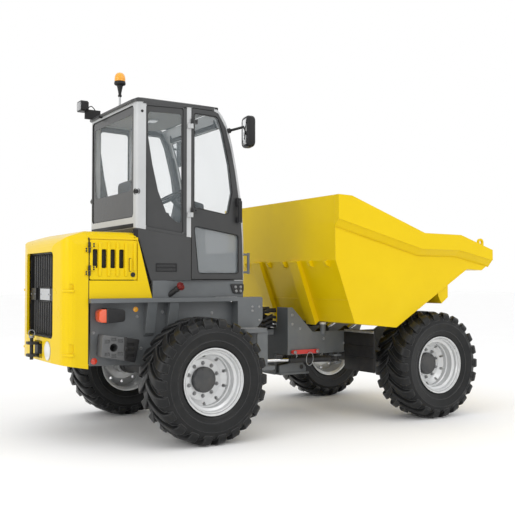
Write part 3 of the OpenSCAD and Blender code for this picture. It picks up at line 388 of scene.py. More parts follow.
def edgeMask(tree, radius):
    # where the rounded normal leaves the flat one there is an edge
    rounded = addNode(tree, "ShaderNodeBevel", samples=4, Radius=radius)
    flat = addNode(tree, "ShaderNodeNewGeometry")
    dot = addNode(tree, "ShaderNodeVectorMath", operation="DOT_PRODUCT")
    tree.links.new(rounded.outputs["Normal"], dot.inputs[0])
    tree.links.new(flat.outputs["Normal"], dot.inputs[1])
    return rounded.outputs["Normal"], rangeNode(tree, dot.outputs["Value"], 0.0, 1.0, 0.995, 0.86)


def heightMask(tree, low, high):
    coords = addNode(tree, "ShaderNodeTexCoord")
    split = addNode(tree, "ShaderNodeSeparateXYZ")
    tree.links.new(coords.outputs["Object"], split.inputs["Vector"])
    return rangeNode(tree, split.outputs["Z"], 1.0, 0.0, low, high)


def coatedSteel(name, colour, shade, edge, rough, grain, coat=0.0, dust=0.0, metal=0.0, edgeSize=0.005,
                blotch=2.2, peel=0.0004, gloss=0.5):
    mat, tree, shader = startMaterial(name)
    clouds = noiseNode(tree, blotch, 5, 0.6)
    fine = noiseNode(tree, grain, 3, 0.6)
    base = rampNode(tree, clouds, shade, colour, 0.32, 0.62)
    normal, edgeWearAndHighlight = edgeMask(tree, edgeSize)
    # edges take the lighter edge colour in noisy patches: partly edge wear, partly a painted highlight along
    # the edges
    scuffAndHighlight = mathNode(tree, "MULTIPLY", edgeWearAndHighlight, rangeNode(tree, noiseNode(tree, 38, 4), 0.15, 0.75, 0.35, 0.65))
    base = mixNode(tree, scuffAndHighlight, base, edge)
    roughness = rangeNode(tree, clouds, rough[0], rough[1])
    if dust:
        low = heightMask(tree, 0.35, 1.5)
        grime = rangeNode(tree, noiseNode(tree, 5.5, 7, 0.7), 0.0, dust, 0.38, 0.72)
        veil = mathNode(tree, "MULTIPLY", low, grime)
        base = mixNode(tree, veil, base, (0.42, 0.38, 0.31))
        roughness = mathNode(tree, "ADD", roughness, mathNode(tree, "MULTIPLY", veil, 0.6))
    tree.links.new(base, shader.inputs["Base Color"])
    tree.links.new(roughness, shader.inputs["Roughness"])
    tree.links.new(bumpNode(tree, fine, 0.35, peel, normal), shader.inputs["Normal"])
    shader.inputs["Metallic"].default_value = metal
    shader.inputs["Specular IOR Level"].default_value = gloss
    shader.inputs["Coat Weight"].default_value = coat
    shader.inputs["Coat Roughness"].default_value = 0.08
    return mat


def mouldedPlastic(name, colour, shade, rough, grain=420, depth=0.0007, edgeSize=0.004, dust=0.0, gloss=0.3):
    mat, tree, shader = startMaterial(name)
    clouds = noiseNode(tree, 5.0, 4)
    cells = addNode(tree, "ShaderNodeTexVoronoi", Scale=grain)
    coords = addNode(tree, "ShaderNodeTexCoord")
    tree.links.new(coords.outputs["Object"], cells.inputs["Vector"])
    base = rampNode(tree, clouds, shade, colour, 0.3, 0.7)
    normal, edgeWearAndHighlight = edgeMask(tree, edgeSize)
    # edges blend toward a lighter copy of the colour: partly rubbed edges, partly a painted highlight along
    # the edges
    light = tuple(min(1, c * 1.5 + 0.03) for c in colour)
    base = mixNode(tree, mathNode(tree, "MULTIPLY", edgeWearAndHighlight, 0.45), base, light)
    if dust:
        veil = mathNode(tree, "MULTIPLY", heightMask(tree, 0.2, 1.4),
                        rangeNode(tree, noiseNode(tree, 7.0, 6, 0.7), 0.0, dust, 0.4, 0.7))
        base = mixNode(tree, veil, base, (0.4, 0.37, 0.31))
    tree.links.new(base, shader.inputs["Base Color"])
    tree.links.new(rangeNode(tree, clouds, rough[0], rough[1]), shader.inputs["Roughness"])
    tree.links.new(bumpNode(tree, cells.outputs["Distance"], 0.3, depth, normal), shader.inputs["Normal"])
    shader.inputs["Specular IOR Level"].default_value = gloss
    return mat


def clearGlass(name, colour, alpha):
    mat, tree, shader = startMaterial(name)
    smear = noiseNode(tree, 3.5, 5, 0.65, (1, 1, 0.4))
    base = rampNode(tree, smear, tuple(c * 0.94 for c in colour), colour, 0.3, 0.7)
    tree.links.new(base, shader.inputs["Base Color"])
    tree.links.new(rangeNode(tree, smear, 0.02, 0.09), shader.inputs["Roughness"])
    shader.inputs["Alpha"].default_value = alpha
    shader.inputs["Specular IOR Level"].default_value = 0.9
    shader.inputs["Coat Weight"].default_value = 0.6
    shader.inputs["Coat Roughness"].default_value = 0.02
    return mat


def lensMaterial(name, colour, deep, ribs=240):
    mat, tree, shader = startMaterial(name)
    coords = addNode(tree, "ShaderNodeTexCoord")
    wave = addNode(tree, "ShaderNodeTexWave", Scale=ribs / 6.0, Distortion=0.0)
    wave.bands_direction = "Z"
    tree.links.new(coords.outputs["Object"], wave.inputs["Vector"])
    # the rib grooves take the deeper colour: painted shade in the grooves
    base = rampNode(tree, wave.outputs["Fac"], deep, colour, 0.1, 0.9)
    tree.links.new(base, shader.inputs["Base Color"])
    tree.links.new(rangeNode(tree, noiseNode(tree, 20, 3), 0.08, 0.2), shader.inputs["Roughness"])
    tree.links.new(bumpNode(tree, wave.outputs["Fac"], 0.4, 0.002), shader.inputs["Normal"])
    shader.inputs["Transmission Weight"].default_value = 0.25
    shader.inputs["Coat Weight"].default_value = 0.7
    # the lens glows faintly in its own colour by emission though no lamp is lit: a painted glow, on the
    # reflectors too
    shader.inputs["Emission Strength"].default_value = 0.12
    shader.inputs["Emission Color"].default_value = (*colour, 1)
    return mat


def tyreRubber(name):
    mat, tree, shader = startMaterial(name)
    clouds = noiseNode(tree, 4.0, 6, 0.65)
    fine = noiseNode(tree, 260, 4, 0.7)
    base = rampNode(tree, clouds, (0.0075, 0.008, 0.0085), (0.015, 0.0155, 0.016), 0.3, 0.7)
    normal, edgeWearAndHighlight = edgeMask(tree, 0.006)
    # the edges are painted a light grey: a painted highlight along the lug and sidewall edges
    base = mixNode(tree, mathNode(tree, "MULTIPLY", edgeWearAndHighlight, 0.6), base, (0.15, 0.151, 0.153))
    veil = rangeNode(tree, noiseNode(tree, 9.0, 7, 0.72), 0.0, 0.10, 0.45, 0.75)
    base = mixNode(tree, veil, base, (0.075, 0.071, 0.064))
    tree.links.new(base, shader.inputs["Base Color"])
    tree.links.new(rangeNode(tree, clouds, 0.27, 0.44), shader.inputs["Roughness"])
    tree.links.new(bumpNode(tree, fine, 0.3, 0.0008, normal), shader.inputs["Normal"])
    shader.inputs["Specular IOR Level"].default_value = 0.2
    shader.inputs["Coat Weight"].default_value = 0.08
    shader.inputs["Coat Roughness"].default_value = 0.24
    return mat


def wovenSeat(name, colour, shade):
    mat, tree, shader = startMaterial(name)
    coords = addNode(tree, "ShaderNodeTexCoord")
    warp = addNode(tree, "ShaderNodeTexWave", Scale=95, Distortion=0.6)
    weft = addNode(tree, "ShaderNodeTexWave", Scale=95, Distortion=0.6)
    warp.bands_direction, weft.bands_direction = "Y", "DIAGONAL"
    for node in (warp, weft):
        tree.links.new(coords.outputs["Object"], node.inputs["Vector"])
    weave = mathNode(tree, "MULTIPLY", warp.outputs["Fac"], weft.outputs["Fac"])
    base = rampNode(tree, weave, shade, colour, 0.1, 0.8)
    worn = rangeNode(tree, noiseNode(tree, 6, 4), 0.0, 0.35)
    base = mixNode(tree, worn, base, tuple(c * 1.6 for c in colour))
    tree.links.new(base, shader.inputs["Base Color"])
    tree.links.new(bumpNode(tree, weave, 0.5, 0.0012), shader.inputs["Normal"])
    shader.inputs["Roughness"].default_value = 0.85
    shader.inputs["Sheen Weight"].default_value = 0.3
    return mat


# the third colour of each coated finish is its lighter edge colour: partly worn edges, partly a painted
# highlight
yellowPaint = coatedSteel("yellowPaint", (0.80, 0.562, 0.0), (0.765, 0.528, 0.0), (0.91, 0.71, 0.03),
                          (0.26, 0.36), 120, coat=0.1, dust=0.04, gloss=0.18)
skipYellow = coatedSteel("skipYellow", (0.80, 0.562, 0.0), (0.76, 0.525, 0.0), (0.90, 0.69, 0.03),
                         (0.32, 0.44), 90, coat=0.05, dust=0.05, edgeSize=0.006, blotch=1.4, gloss=0.18)
frameGrey = coatedSteel("frameGrey", (0.122, 0.132, 0.139), (0.098, 0.107, 0.113), (0.27, 0.28, 0.29),
                        (0.36, 0.48), 210, coat=0.08, dust=0.14)
axleGrey = coatedSteel("axleGrey", (0.06, 0.062, 0.065), (0.04, 0.042, 0.045), (0.14, 0.14, 0.14),
                       (0.5, 0.65), 75, dust=0.12, peel=0.0015)
engineIron = coatedSteel("engineIron", (0.05, 0.052, 0.055), (0.03, 0.031, 0.033), (0.12, 0.12, 0.12),
                         (0.5, 0.7), 60, dust=0.3, peel=0.0018)
darkGreyPaint = coatedSteel("darkGreyPaint", (0.050, 0.051, 0.052), (0.040, 0.041, 0.042),
                            (0.13, 0.13, 0.135), (0.34, 0.45), 260, coat=0.1, dust=0.08, gloss=0.35)
lightGreyPaint = coatedSteel("lightGreyPaint", (0.50, 0.51, 0.515), (0.44, 0.45, 0.455), (0.66, 0.67, 0.67),
                             (0.3, 0.4), 180, coat=0.3, dust=0.05)
rimSilver = coatedSteel("rimSilver", (0.72, 0.73, 0.735), (0.63, 0.64, 0.645), (0.86, 0.86, 0.86),
                        (0.26, 0.38), 260, metal=0.35, coat=0.15, dust=0.1)
stepMetal = coatedSteel("stepMetal", (0.30, 0.305, 0.31), (0.23, 0.235, 0.24), (0.5, 0.5, 0.5), (0.36, 0.5),
                        140, metal=0.5, dust=0.1)
cableSteel = coatedSteel("cableSteel", (0.46, 0.47, 0.48), (0.36, 0.37, 0.38), (0.6, 0.6, 0.6), (0.25, 0.4),
                         700, metal=0.9)
blackSteel = coatedSteel("blackSteel", (0.022, 0.022, 0.023), (0.014, 0.014, 0.015), (0.10, 0.10, 0.10),
                         (0.36, 0.5), 150, dust=0.08, gloss=0.35)
redPaint = coatedSteel("redPaint", (0.62, 0.022, 0.012), (0.5, 0.014, 0.008), (0.75, 0.16, 0.12), (0.3, 0.42),
                       130, coat=0.3)
rodChrome = coatedSteel("rodChrome", (0.72, 0.73, 0.74), (0.62, 0.63, 0.64), (0.85, 0.85, 0.85), (0.07, 0.16),
                        500, metal=1.0, peel=0.0001)
plateSilver = coatedSteel("plateSilver", (0.56, 0.57, 0.58), (0.46, 0.47, 0.48), (0.75, 0.75, 0.75),
                          (0.3, 0.42), 300, metal=0.5)
whiteEnamel = coatedSteel("whiteEnamel", (0.78, 0.78, 0.77), (0.72, 0.72, 0.71), (0.85, 0.85, 0.84),
                          (0.25, 0.36), 300, coat=0.3)
blackPlastic = mouldedPlastic("blackPlastic", (0.016, 0.016, 0.017), (0.010, 0.010, 0.011), (0.36, 0.5),
                              dust=0.08)
greyPlastic = mouldedPlastic("greyPlastic", (0.13, 0.132, 0.134), (0.1, 0.102, 0.104), (0.45, 0.6), dust=0.1)
rubberSheet = mouldedPlastic("rubberSheet", (0.014, 0.014, 0.015), (0.009, 0.009, 0.010), (0.5, 0.65), 160,
                             0.001, dust=0.06)
glossBlack = mouldedPlastic("glossBlack", (0.03, 0.03, 0.031), (0.022, 0.022, 0.023), (0.2, 0.3), 600, 0.0002,
                            gloss=0.6)
hoseRubber = mouldedPlastic("hoseRubber", (0.026, 0.026, 0.028), (0.017, 0.017, 0.018),
                            (0.34, 0.48), 520, 0.0006)
redPlastic = mouldedPlastic("redPlastic", (0.17, 0.009, 0.008), (0.12, 0.007, 0.006), (0.34, 0.46))
headliner = mouldedPlastic("headliner", (0.24, 0.24, 0.24), (0.2, 0.2, 0.2), (0.7, 0.85), 300, 0.001)
bandPrint = mouldedPlastic("bandPrint", (0.055, 0.056, 0.057), (0.046, 0.047, 0.048),
                           (0.16, 0.24), 700, 0.0001)
cabGlass = clearGlass("cabGlass", (0.50, 0.58, 0.62), 0.09)
tintFilm = clearGlass("tintFilm", (0.185, 0.192, 0.197), 0.72)
mirrorFace = coatedSteel("mirrorFace", (0.8, 0.81, 0.82), (0.74, 0.75, 0.76), (0.85, 0.85, 0.85),
                         (0.02, 0.05), 900, metal=1.0, peel=0.00002)
# each lens's second colour is the painted shade in its rib grooves
amberLens = lensMaterial("amberLens", (0.98, 0.47, 0.01), (0.86, 0.33, 0.005))
redLens = lensMaterial("redLens", (0.85, 0.06, 0.02), (0.6, 0.03, 0.01))
orangeLens = lensMaterial("orangeLens", (0.93, 0.15, 0.05), (0.74, 0.07, 0.02))
clearLens = lensMaterial("clearLens", (0.34, 0.35, 0.36), (0.22, 0.225, 0.235))
tyreBlack = tyreRubber("tyreBlack")
seatCloth = wovenSeat("seatCloth", (0.035, 0.036, 0.04), (0.014, 0.014, 0.016))

nodeFinish = {"rear_chassis": frameGrey, "front_chassis": frameGrey, "pivot_yoke": blackSteel,
              "side_tanks": frameGrey, "cab_skirts": frameGrey, "rear_axle": axleGrey, "front_axle": axleGrey,
              "engine_block": engineIron, "tail_cover": yellowPaint, "hood_top": yellowPaint,
              "hood_skirts": yellowPaint, "side_door_right": yellowPaint, "side_door_left": yellowPaint,
              "rear_grille": blackPlastic, "cab_tub": darkGreyPaint, "cab_posts": lightGreyPaint,
              "cab_roof": darkGreyPaint, "door_right": darkGreyPaint, "door_left": darkGreyPaint,
              "rear_window": cabGlass, "quarter_windows": cabGlass, "windscreen": cabGlass,
              "glass_bands": bandPrint, "door_glass_right": cabGlass, "door_glass_left": cabGlass,
              "seat": seatCloth, "console": blackPlastic, "steering_wheel": blackPlastic,
              "mirrors": blackPlastic, "work_lamps": blackPlastic, "beacon": amberLens, "steps": frameGrey,
              "tow_jaw": blackSteel, "wheel_chocks": greyPlastic, "tail_lamps": orangeLens,
              "filler_cap": redPlastic, "blank_plates": plateSilver, "mudflaps": rubberSheet,
              "lock_bar": redPaint, "skip": skipYellow, "skip_rim": skipYellow, "tip_barrels": blackSteel,
              "tip_rods": rodChrome, "steer_barrel_right": blackSteel, "steer_barrel_left": blackSteel,
              "steer_rod_right": rodChrome, "steer_rod_left": rodChrome}
wheels = [end + "_" + side for end in ("rear", "front") for side in ("right", "left")]
for wheel in wheels:
    nodeFinish["rim_" + wheel] = rimSilver
    nodeFinish["tyre_" + wheel] = tyreBlack
for name, material in nodeFinish.items():
    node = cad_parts[name]
    if not node.material_slots:
        node.data.materials.append(material)
    for place in node.material_slots:
        place.material = material
print("finishes set on", len(nodeFinish), "nodes")


# floor, light and camera
stagePlan = {"floorSize": 160, "keyPower": 125, "fillPower": 130, "topPower": 60, "lens": 55.95,
             "cameraAt": (-4.685, -7.615, 1.496), "cameraTurn": (91.681, 0, -31.835)}
deselectAll()
bpy.ops.mesh.primitive_plane_add(size=stagePlan["floorSize"], location=(0, 0, 0))
studioFloor = bpy.context.object
studioFloor.name = "studioFloor"
floorMat, floorTree, floorShader = startMaterial("paleFloor")
floorTree.links.new(rampNode(floorTree, noiseNode(floorTree, 0.6, 3), (0.972, 0.972, 0.972),
                             (0.985, 0.985, 0.985)), floorShader.inputs["Base Color"])
floorShader.inputs["Roughness"].default_value = 0.8
floorShader.inputs["Specular IOR Level"].default_value = 0.1
studioFloor.data.materials.append(floorMat)


def softLight(name, place, target, size, power, colour=(1, 1, 1)):
    deselectAll()
    bpy.ops.object.light_add(type="AREA", location=place)
    light = bpy.context.object
    light.name = name
    light.data.shape = "RECTANGLE"
    light.data.size, light.data.size_y = size
    light.data.energy = power
    light.data.color = colour
    light.rotation_euler = (Vector(target) - Vector(place)).to_track_quat("-Z", "Y").to_euler()
    return light


softLight("keyLight", (1.5, -8.5, 7.0), (0.3, 0, 1.2), (6, 4), stagePlan["keyPower"])
softLight("fillLight", (-9.0, -3.0, 4.0), (-1.0, 0, 1.2), (5, 4), stagePlan["fillPower"])
softLight("topLight", (0, 0.5, 9.0), (0, 0, 1.0), (8, 6), stagePlan["topPower"])
world = bpy.data.worlds.new("studioWorld")
bpy.context.scene.world = world
world.use_nodes = True
world.node_tree.nodes["Background"].inputs["Color"].default_value = (1, 1, 1, 1)
world.node_tree.nodes["Background"].inputs["Strength"].default_value = 1.0
bpy.context.scene.view_settings.view_transform = "Standard"
deselectAll()
bpy.ops.object.camera_add(location=stagePlan["cameraAt"],
                          rotation=[math.radians(a) for a in stagePlan["cameraTurn"]])
studioCamera = bpy.context.object
studioCamera.name = "studioCamera"
studioCamera.data.lens = stagePlan["lens"]
studioCamera.data.sensor_width = 36
studioCamera.data.sensor_fit = "HORIZONTAL"
studioCamera.data.clip_end = 200
bpy.context.scene.camera = studioCamera
print("stage set")


# tyres: a spun carcass and curved lugs, one made and then copied round
tyrePlan = {"radius": 0.58, "half": 0.243, "lugDepth": 0.038, "lugs": 22, "axleZ": 0.58,
            "rearX": -1.17, "frontX": 1.64, "wheelY": 1.0, "bead": 0.322, "beadHalf": 0.198}


def carcassProfile():
    p = tyrePlan
    floor = p["radius"] - p["lugDepth"]
    half = p["half"]
    right = [(p["bead"] - 0.030, p["beadHalf"] - 0.012), (p["bead"], p["beadHalf"] + 0.008),
             (p["bead"] + 0.012, p["beadHalf"] + 0.016), (p["bead"] + 0.030, p["beadHalf"] + 0.020),
             (0.366, half - 0.021), (0.372, half - 0.014), (0.378, half - 0.016), (0.41, half - 0.006),
             (0.44, half - 0.002), (0.452, half + 0.0015), (0.458, half - 0.003), (0.475, half - 0.006),
             (0.495, half - 0.013), (0.515, half - 0.027), (0.530, half - 0.047),
             (floor - 0.002, half - 0.075), (floor + 0.001, half - 0.12), (floor + 0.002, 0.06),
             (floor + 0.002, 0.0)]
    return right + [(r, -h) for r, h in reversed(right[:-1])]


def lugPlace(u, v, w):
    # u runs from the tread centre over the shoulder, v across the lug, w from foot to top
    p = tyrePlan
    stations = [(-0.014, 0.0, 0.0), (0.03, 0.0, 0.045), (0.08, 0.0, 0.088), (0.13, 0.0, 0.122),
                (0.175, 0.003, 0.145), (0.212, 0.014, 0.157), (0.236, 0.037, 0.162), (0.2435, 0.064, 0.1645),
                (0.2435, 0.09, 0.166)]
    spot = (u + 1) / 2 * (len(stations) - 1)
    k = min(int(spot), len(stations) - 2)
    f = spot - k
    y, drop, sweep = (stations[k][i] * (1 - f) + stations[k + 1][i] * f for i in range(3))
    width = 0.029 + 0.017 * min(1, (u + 1) / 1.3)
    taper = 1.0 if w > 0 else 1.18
    top = Vector((y, p["radius"] - drop))
    if w > 0:
        point = top
    elif u > 0.45:
        point = top + Vector((-0.045, -0.02))
    else:
        point = top + Vector((-0.01 * max(0, u), -p["lugDepth"] - 0.012))
    angle = (sweep + v * width * taper) / p["radius"]
    return point.x, point.y, angle


def makeLug():
    deselectAll()
    bpy.ops.mesh.primitive_cube_add(size=2)
    lug = bpy.context.object
    lug.name = "lug"
    editMode(lug)
    for i in range(1, 8):
        bpy.ops.mesh.select_all(action="SELECT")
        bpy.ops.mesh.bisect(plane_co=(-1 + i / 4, 0, 0), plane_no=(1, 0, 0))
    objectMode()
    for vert in lug.data.vertices:
        y, r, angle = lugPlace(*vert.co)
        vert.co = (-r * math.sin(angle), y, r * math.cos(angle))
    cleanMesh(lug)
    return bevelEdges(lug, 0.006, 1, 50)


def makeTyre():
    p = tyrePlan
    carcass = lathePiece("carcass", carcassProfile(), (0, 0, 0), (0, 1, 0), 96)
    lug = makeLug()
    pieces = [carcass]
    for hand in (1, -1):
        for i in range(p["lugs"]):
            turn = (i + (0.5 if hand < 0 else 0)) * 2 * math.pi / p["lugs"]
            twin = lug.copy()
            twin.data = lug.data.copy()
            bpy.context.collection.objects.link(twin)
            twin.data.transform(Matrix.Rotation(turn, 4, "Y") @ Matrix.Diagonal((1, hand, 1, 1)))
            if hand < 0:
                twin.data.flip_normals()
            pieces.append(twin)
    bpy.data.objects.remove(lug)
    return joinPieces(pieces, "tyreMaster")


def wheelPlace(wheel):
    end, side = wheel.split("_")
    return tyrePlan[end + "X"], tyrePlan["wheelY"] * (1 if side == "left" else -1), tyrePlan["axleZ"]


tyreMaster = makeTyre()
for wheel in wheels:
    tyre = copyPiece(tyreMaster, "tyre_lugged_" + wheel, wheelPlace(wheel))
    finishPiece(tyre, tyreBlack, "wheel_%s_body" % wheel, angle=35)
    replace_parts(tyre, "tyre_" + wheel)
bpy.data.objects.remove(tyreMaster)
print("tyres made")


# wheel hubs, nuts and valves
hubPlan = {"hubRadius": 0.120, "face": 0.034, "nutRing": 0.152, "nuts": 10, "nutSize": 0.0135,
           "capRing": 0.098}


def makeHub():
    p = hubPlan
    dark = [lathePiece("hubCap", [(0.0, p["face"]), (0.085, p["face"]), (0.092, p["face"] - 0.003),
                                  (0.108, p["face"] - 0.003), (0.116, p["face"] - 0.009),
                                  (p["hubRadius"], p["face"] - 0.016), (p["hubRadius"], -0.011),
                                  (0.0, -0.011)], (0, 0, 0), (0, 1, 0), 48)]
    for i in range(8):
        a = i * math.pi / 4 + 0.2
        x, z = p["capRing"] * math.cos(a), p["capRing"] * math.sin(a)
        dark.append(rodPiece("capBolt", (x, p["face"] - 0.006, z), (x, p["face"] + 0.004, z), 0.0075, 6,
                             0.0015, 1))
    cap = joinPieces(dark, "hubMaster")
    nuts = []
    for i in range(p["nuts"]):
        a = (i + 0.5) * 2 * math.pi / p["nuts"]
        x, z = p["nutRing"] * math.cos(a), p["nutRing"] * math.sin(a)
        nuts.append(rodPiece("washer", (x, -0.013, z), (x, -0.008, z), 0.019, 20, 0.001, 1))
        nuts.append(rodPiece("nut", (x, -0.010, z), (x, 0.008, z), p["nutSize"], 6, 0.002, 1))
        nuts.append(rodPiece("stud", (x, 0.0, z), (x, 0.019, z), 0.007, 12, 0.0015, 1))
    nuts.append(rodPiece("valve", (0.262, 0.03, 0.02), (0.262, 0.075, 0.02), 0.006, 12, 0.002, 1))
    return cap, joinPieces(nuts, "nutMaster")


hubMaster, nutMaster = makeHub()
for wheel in wheels:
    body, onRight = "wheel_%s_body" % wheel, wheel.endswith("right")
    hub = copyPiece(hubMaster, "hub_cap_" + wheel, wheelPlace(wheel), mirrorY=onRight)
    finishPiece(hub, axleGrey, body, angle=30)
    nuts = copyPiece(nutMaster, "wheel_nuts_" + wheel, wheelPlace(wheel), mirrorY=onRight)
    finishPiece(nuts, stepMetal, body, angle=30)
bpy.data.objects.remove(hubMaster)
bpy.data.objects.remove(nutMaster)
print("wheels dressed")


# tail: lamps, reflectors, mesh behind the grille, plate, hinges and latches
tailPlan = {"lampX": -2.0, "lampZ": 1.178, "lampY": (0.590, 0.720), "plateX": -2.361,
            "plateZ": (1.305, 1.431), "discY": -0.290, "discZ": 0.850, "hingeX": -2.160,
            "hingeZ": (1.590, 1.800), "hoodY": 0.655}
x, z = tailPlan["lampX"], tailPlan["lampZ"]
y0, y1 = tailPlan["lampY"]
housing = prismPiece("lamp_housing", roundPath([(x, z - 0.067, 0), (x + 0.17, z - 0.055, 0.03),
                                                (x + 0.17, z + 0.055, 0.03), (x, z + 0.067, 0)]), "Y", -y1,
                     -y0, 0.006)
bothSides(housing, "lamp_housing", blackPlastic, replaced="tail_lamps")
lens = prismPiece("lamp_lens", roundPath([(x - 0.08, z - 0.06, 0.038), (x + 0.01, z - 0.063, 0),
                                          (x + 0.01, z + 0.063, 0), (x - 0.08, z + 0.06, 0.038)], 7), "Y",
                  -y1 + 0.004, -y0 - 0.004, 0.012, 3)
bothSides(lens, "lamp_lens", orangeLens, angle=30, replaced="tail_lamps")
collar = prismPiece("lamp_collar", roundBox(x - 0.012, z - 0.069, x + 0.004, z + 0.069, 0.003, 2), "Y",
                    -y1 - 0.002, -y0 + 0.001, 0.002)
bothSides(collar, "lamp_collar", blackSteel)


def reflector(name, place, radius, material):
    cup = lathePiece(name, [(0.0, 0.0), (radius, 0.0), (radius, 0.006), (radius * 0.86, 0.008),
                            (radius * 0.84, 0.0065), (radius * 0.4, 0.0095), (0.0, 0.0105)], place,
                     (0, -1, 0), 32)
    bothSides(cup, name, material, angle=30)


reflector("side_reflector", (-1.677, -0.590, 1.229), 0.025, amberLens)
reflector("rear_reflector", (-2.085, -0.590, 0.762), 0.030, redLens)

grillePlan = {"meshX": -2.326, "half": 0.400, "low": 0.972, "high": 1.758, "slats": 33, "slatPitch": 0.0235,
              "ribs": 10, "ribPitch": 0.072, "ribX": -2.356, "ribRadius": 0.0085, "plateHalf": 0.190}
g = grillePlan
z0, z1 = tailPlan["plateZ"]
mesh = [boxPiece("grille_core", (g["meshX"], -g["half"], g["low"]),
                 (g["meshX"] + 0.006, g["half"], g["high"]), 0.001, 1)]
for i in range(g["slats"]):  # fine slats of the cooler behind the bars
    at = g["low"] + 0.018 + i * g["slatPitch"]
    mesh.append(boxPiece("slat", (g["meshX"] - 0.005, 0.005 - g["half"], at),
                         (g["meshX"] + 0.001, g["half"] - 0.005, at + 0.007), 0))
finishPiece(joinPieces(mesh, "grille_mesh"), blackPlastic)
ribs = []
low, high = g["low"] + 0.013, g["high"] - 0.006
for i in range(g["ribs"]):  # the middle ones stop above and below the plate
    y = (i - (g["ribs"] - 1) / 2) * g["ribPitch"]
    spans = ((low, z0 - 0.015), (z1 + 0.015, high)) if abs(y) < g["plateHalf"] else ((low, high),)
    for foot, head in spans:
        ribs.append(rodPiece("rib", (g["ribX"], y, foot), (g["ribX"], y, head), g["ribRadius"], 14, 0.003))
finishPiece(joinPieces(ribs, "grille_ribs"), glossBlack)

gripPlan = {"x": -2.345, "heights": (1.418, 0.842), "drop": 0.012, "half": 0.058}
lips = []
for z in gripPlan["heights"]:  # raised lip under each grip, set on the curved corner
    start = Vector((gripPlan["x"], -1.0, z - gripPlan["drop"]))
    spot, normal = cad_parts["tail_cover"].ray_cast(start, Vector((0, 1, 0)))[1:3]
    lip = boxPiece("lip", (-gripPlan["half"], -0.010, -0.013), (gripPlan["half"], 0.012, 0.013), 0.009, 3)
    lips.append(turnPiece(lip, spot, (0, 0, math.degrees(math.atan2(normal.x, -normal.y)))))
bothSides(lips, "grip_lip", yellowPaint)
flange = [boxPiece("flangeTop", (-2.150, -0.6325, 1.850), (-1.700, -0.6290, 1.905), 0),
          boxPiece("flangeFront", (-1.712, -0.6325, 1.500), (-1.672, -0.6290, 1.905), 0)]
bothSides(flange, "door_flange", yellowPaint)

plateX = tailPlan["plateX"]
edge = prismPiece("plate_frame", roundBox(-0.168, z0 - 0.008, 0.168, z1 + 0.008, 0.012), "X", plateX,
                  plateX + 0.004, 0.001)
cutPiece(edge, boxPiece("cut", (plateX - 0.02, -0.152, z0 + 0.008), (plateX + 0.02, 0.152, z1 - 0.008), 0))
finishPiece(edge, blackPlastic)


def screwHead(radius, place):
    profile = [(0, 0.0), (radius, 0.0), (radius - 0.0005, 0.003), (0.004, 0.005), (0, 0.0055)]
    return lathePiece("screw", profile, place, (-1, 0, 0), 20)


screws = [screwHead(0.008, (plateX + 0.0005, y, (z0 + z1) / 2)) for y in (-0.12, 0.12)]
screws += [screwHead(0.009, (-2.380, y, (z0 + z1) / 2)) for y in (-0.25, -0.375, 0.25, 0.375)]
finishPiece(joinPieces(screws, "plate_screws"), stepMetal)
disc = lathePiece("blank_disc", [(0, 0.0), (0.084, 0.0), (0.0845, 0.001), (0.083, 0.002), (0, 0.002)],
                  (-2.4248, tailPlan["discY"], tailPlan["discZ"]), (-1, 0, 0), 56)
finishPiece(disc, whiteEnamel, angle=30)

skinY = -tailPlan["hoodY"]


def hingeHalf(low, high, boltX, boltHeights):
    x, y = tailPlan["hingeX"], skinY - 0.012
    half = []
    for z in tailPlan["hingeZ"]:
        half.append(rodPiece("knuckle", (x, y, z + low), (x, y, z + high), 0.0122, 20, 0.002))
        for up in boltHeights:
            half += hexBolt("leafBolt", (x + boltX, y, z + up), (0, -1, 0), 0.006, 0.004)
    return half


knuckles = hingeHalf(-0.047, -0.001, -0.028, (-0.032, -0.012))
bothSides(knuckles, "hinge_fixed", blackSteel)
leaves = hingeHalf(0.001, 0.047, 0.042, (0.012, 0.032))
latchProfile = [(0, 0), (0.023, 0), (0.023, 0.005), (0.020, 0.009), (0.012, 0.009), (0.011, 0.006),
                (0, 0.006)]
leaves.append(lathePiece("latch", latchProfile, (-1.733, skinY, 1.555), (0, -1, 0), 28))
leaves.append(boxPiece("latchBar", (-1.742, skinY - 0.012, 1.551), (-1.724, skinY - 0.004, 1.559), 0.002))
bothSides(leaves, "hinge_leaf", blackSteel, "side_door_SIDE_body")

pressPlan = {"first": -2.057, "pitch": 0.085, "count": 5, "half": 0.0145, "low": 1.538, "high": 1.852,
             "proud": 0.012, "latchTop": 1.592, "pullLow": 1.588, "pullHigh": 1.705}
press = []
# pressed ribs that part the bays of the service door; the last clears the latch
for i in range(pressPlan["count"]):
    x = pressPlan["first"] + i * pressPlan["pitch"]
    low = pressPlan["latchTop"] if i == pressPlan["count"] - 1 else pressPlan["low"]
    outline = roundBox(x - pressPlan["half"], low, x + pressPlan["half"], pressPlan["high"], 0.013)
    press.append(prismPiece("pressRib", outline, "Y", skinY + 0.002, skinY - pressPlan["proud"], 0.005, 3))
bothSides(press, "press_ribs", yellowPaint, "side_door_SIDE_body")
x, low, high = pressPlan["first"] + 3.5 * pressPlan["pitch"], pressPlan["pullLow"], pressPlan["pullHigh"]
pull = prismPiece("door_pull", roundBox(x - 0.009, low, x + 0.009, high, 0.008), "Y", skinY + 0.002,
                  skinY - 0.016, 0.004, 3)
bothSides(pull, "door_pull", yellowPaint, "side_door_SIDE_body")
bed = prismPiece("pull_bed", roundBox(x - 0.013, low - 0.005, x + 0.013, high + 0.005, 0.011), "Y",
                 skinY + 0.001, skinY - 0.0015, 0)
bothSides(bed, "pull_bed", blackPlastic, "side_door_SIDE_body")

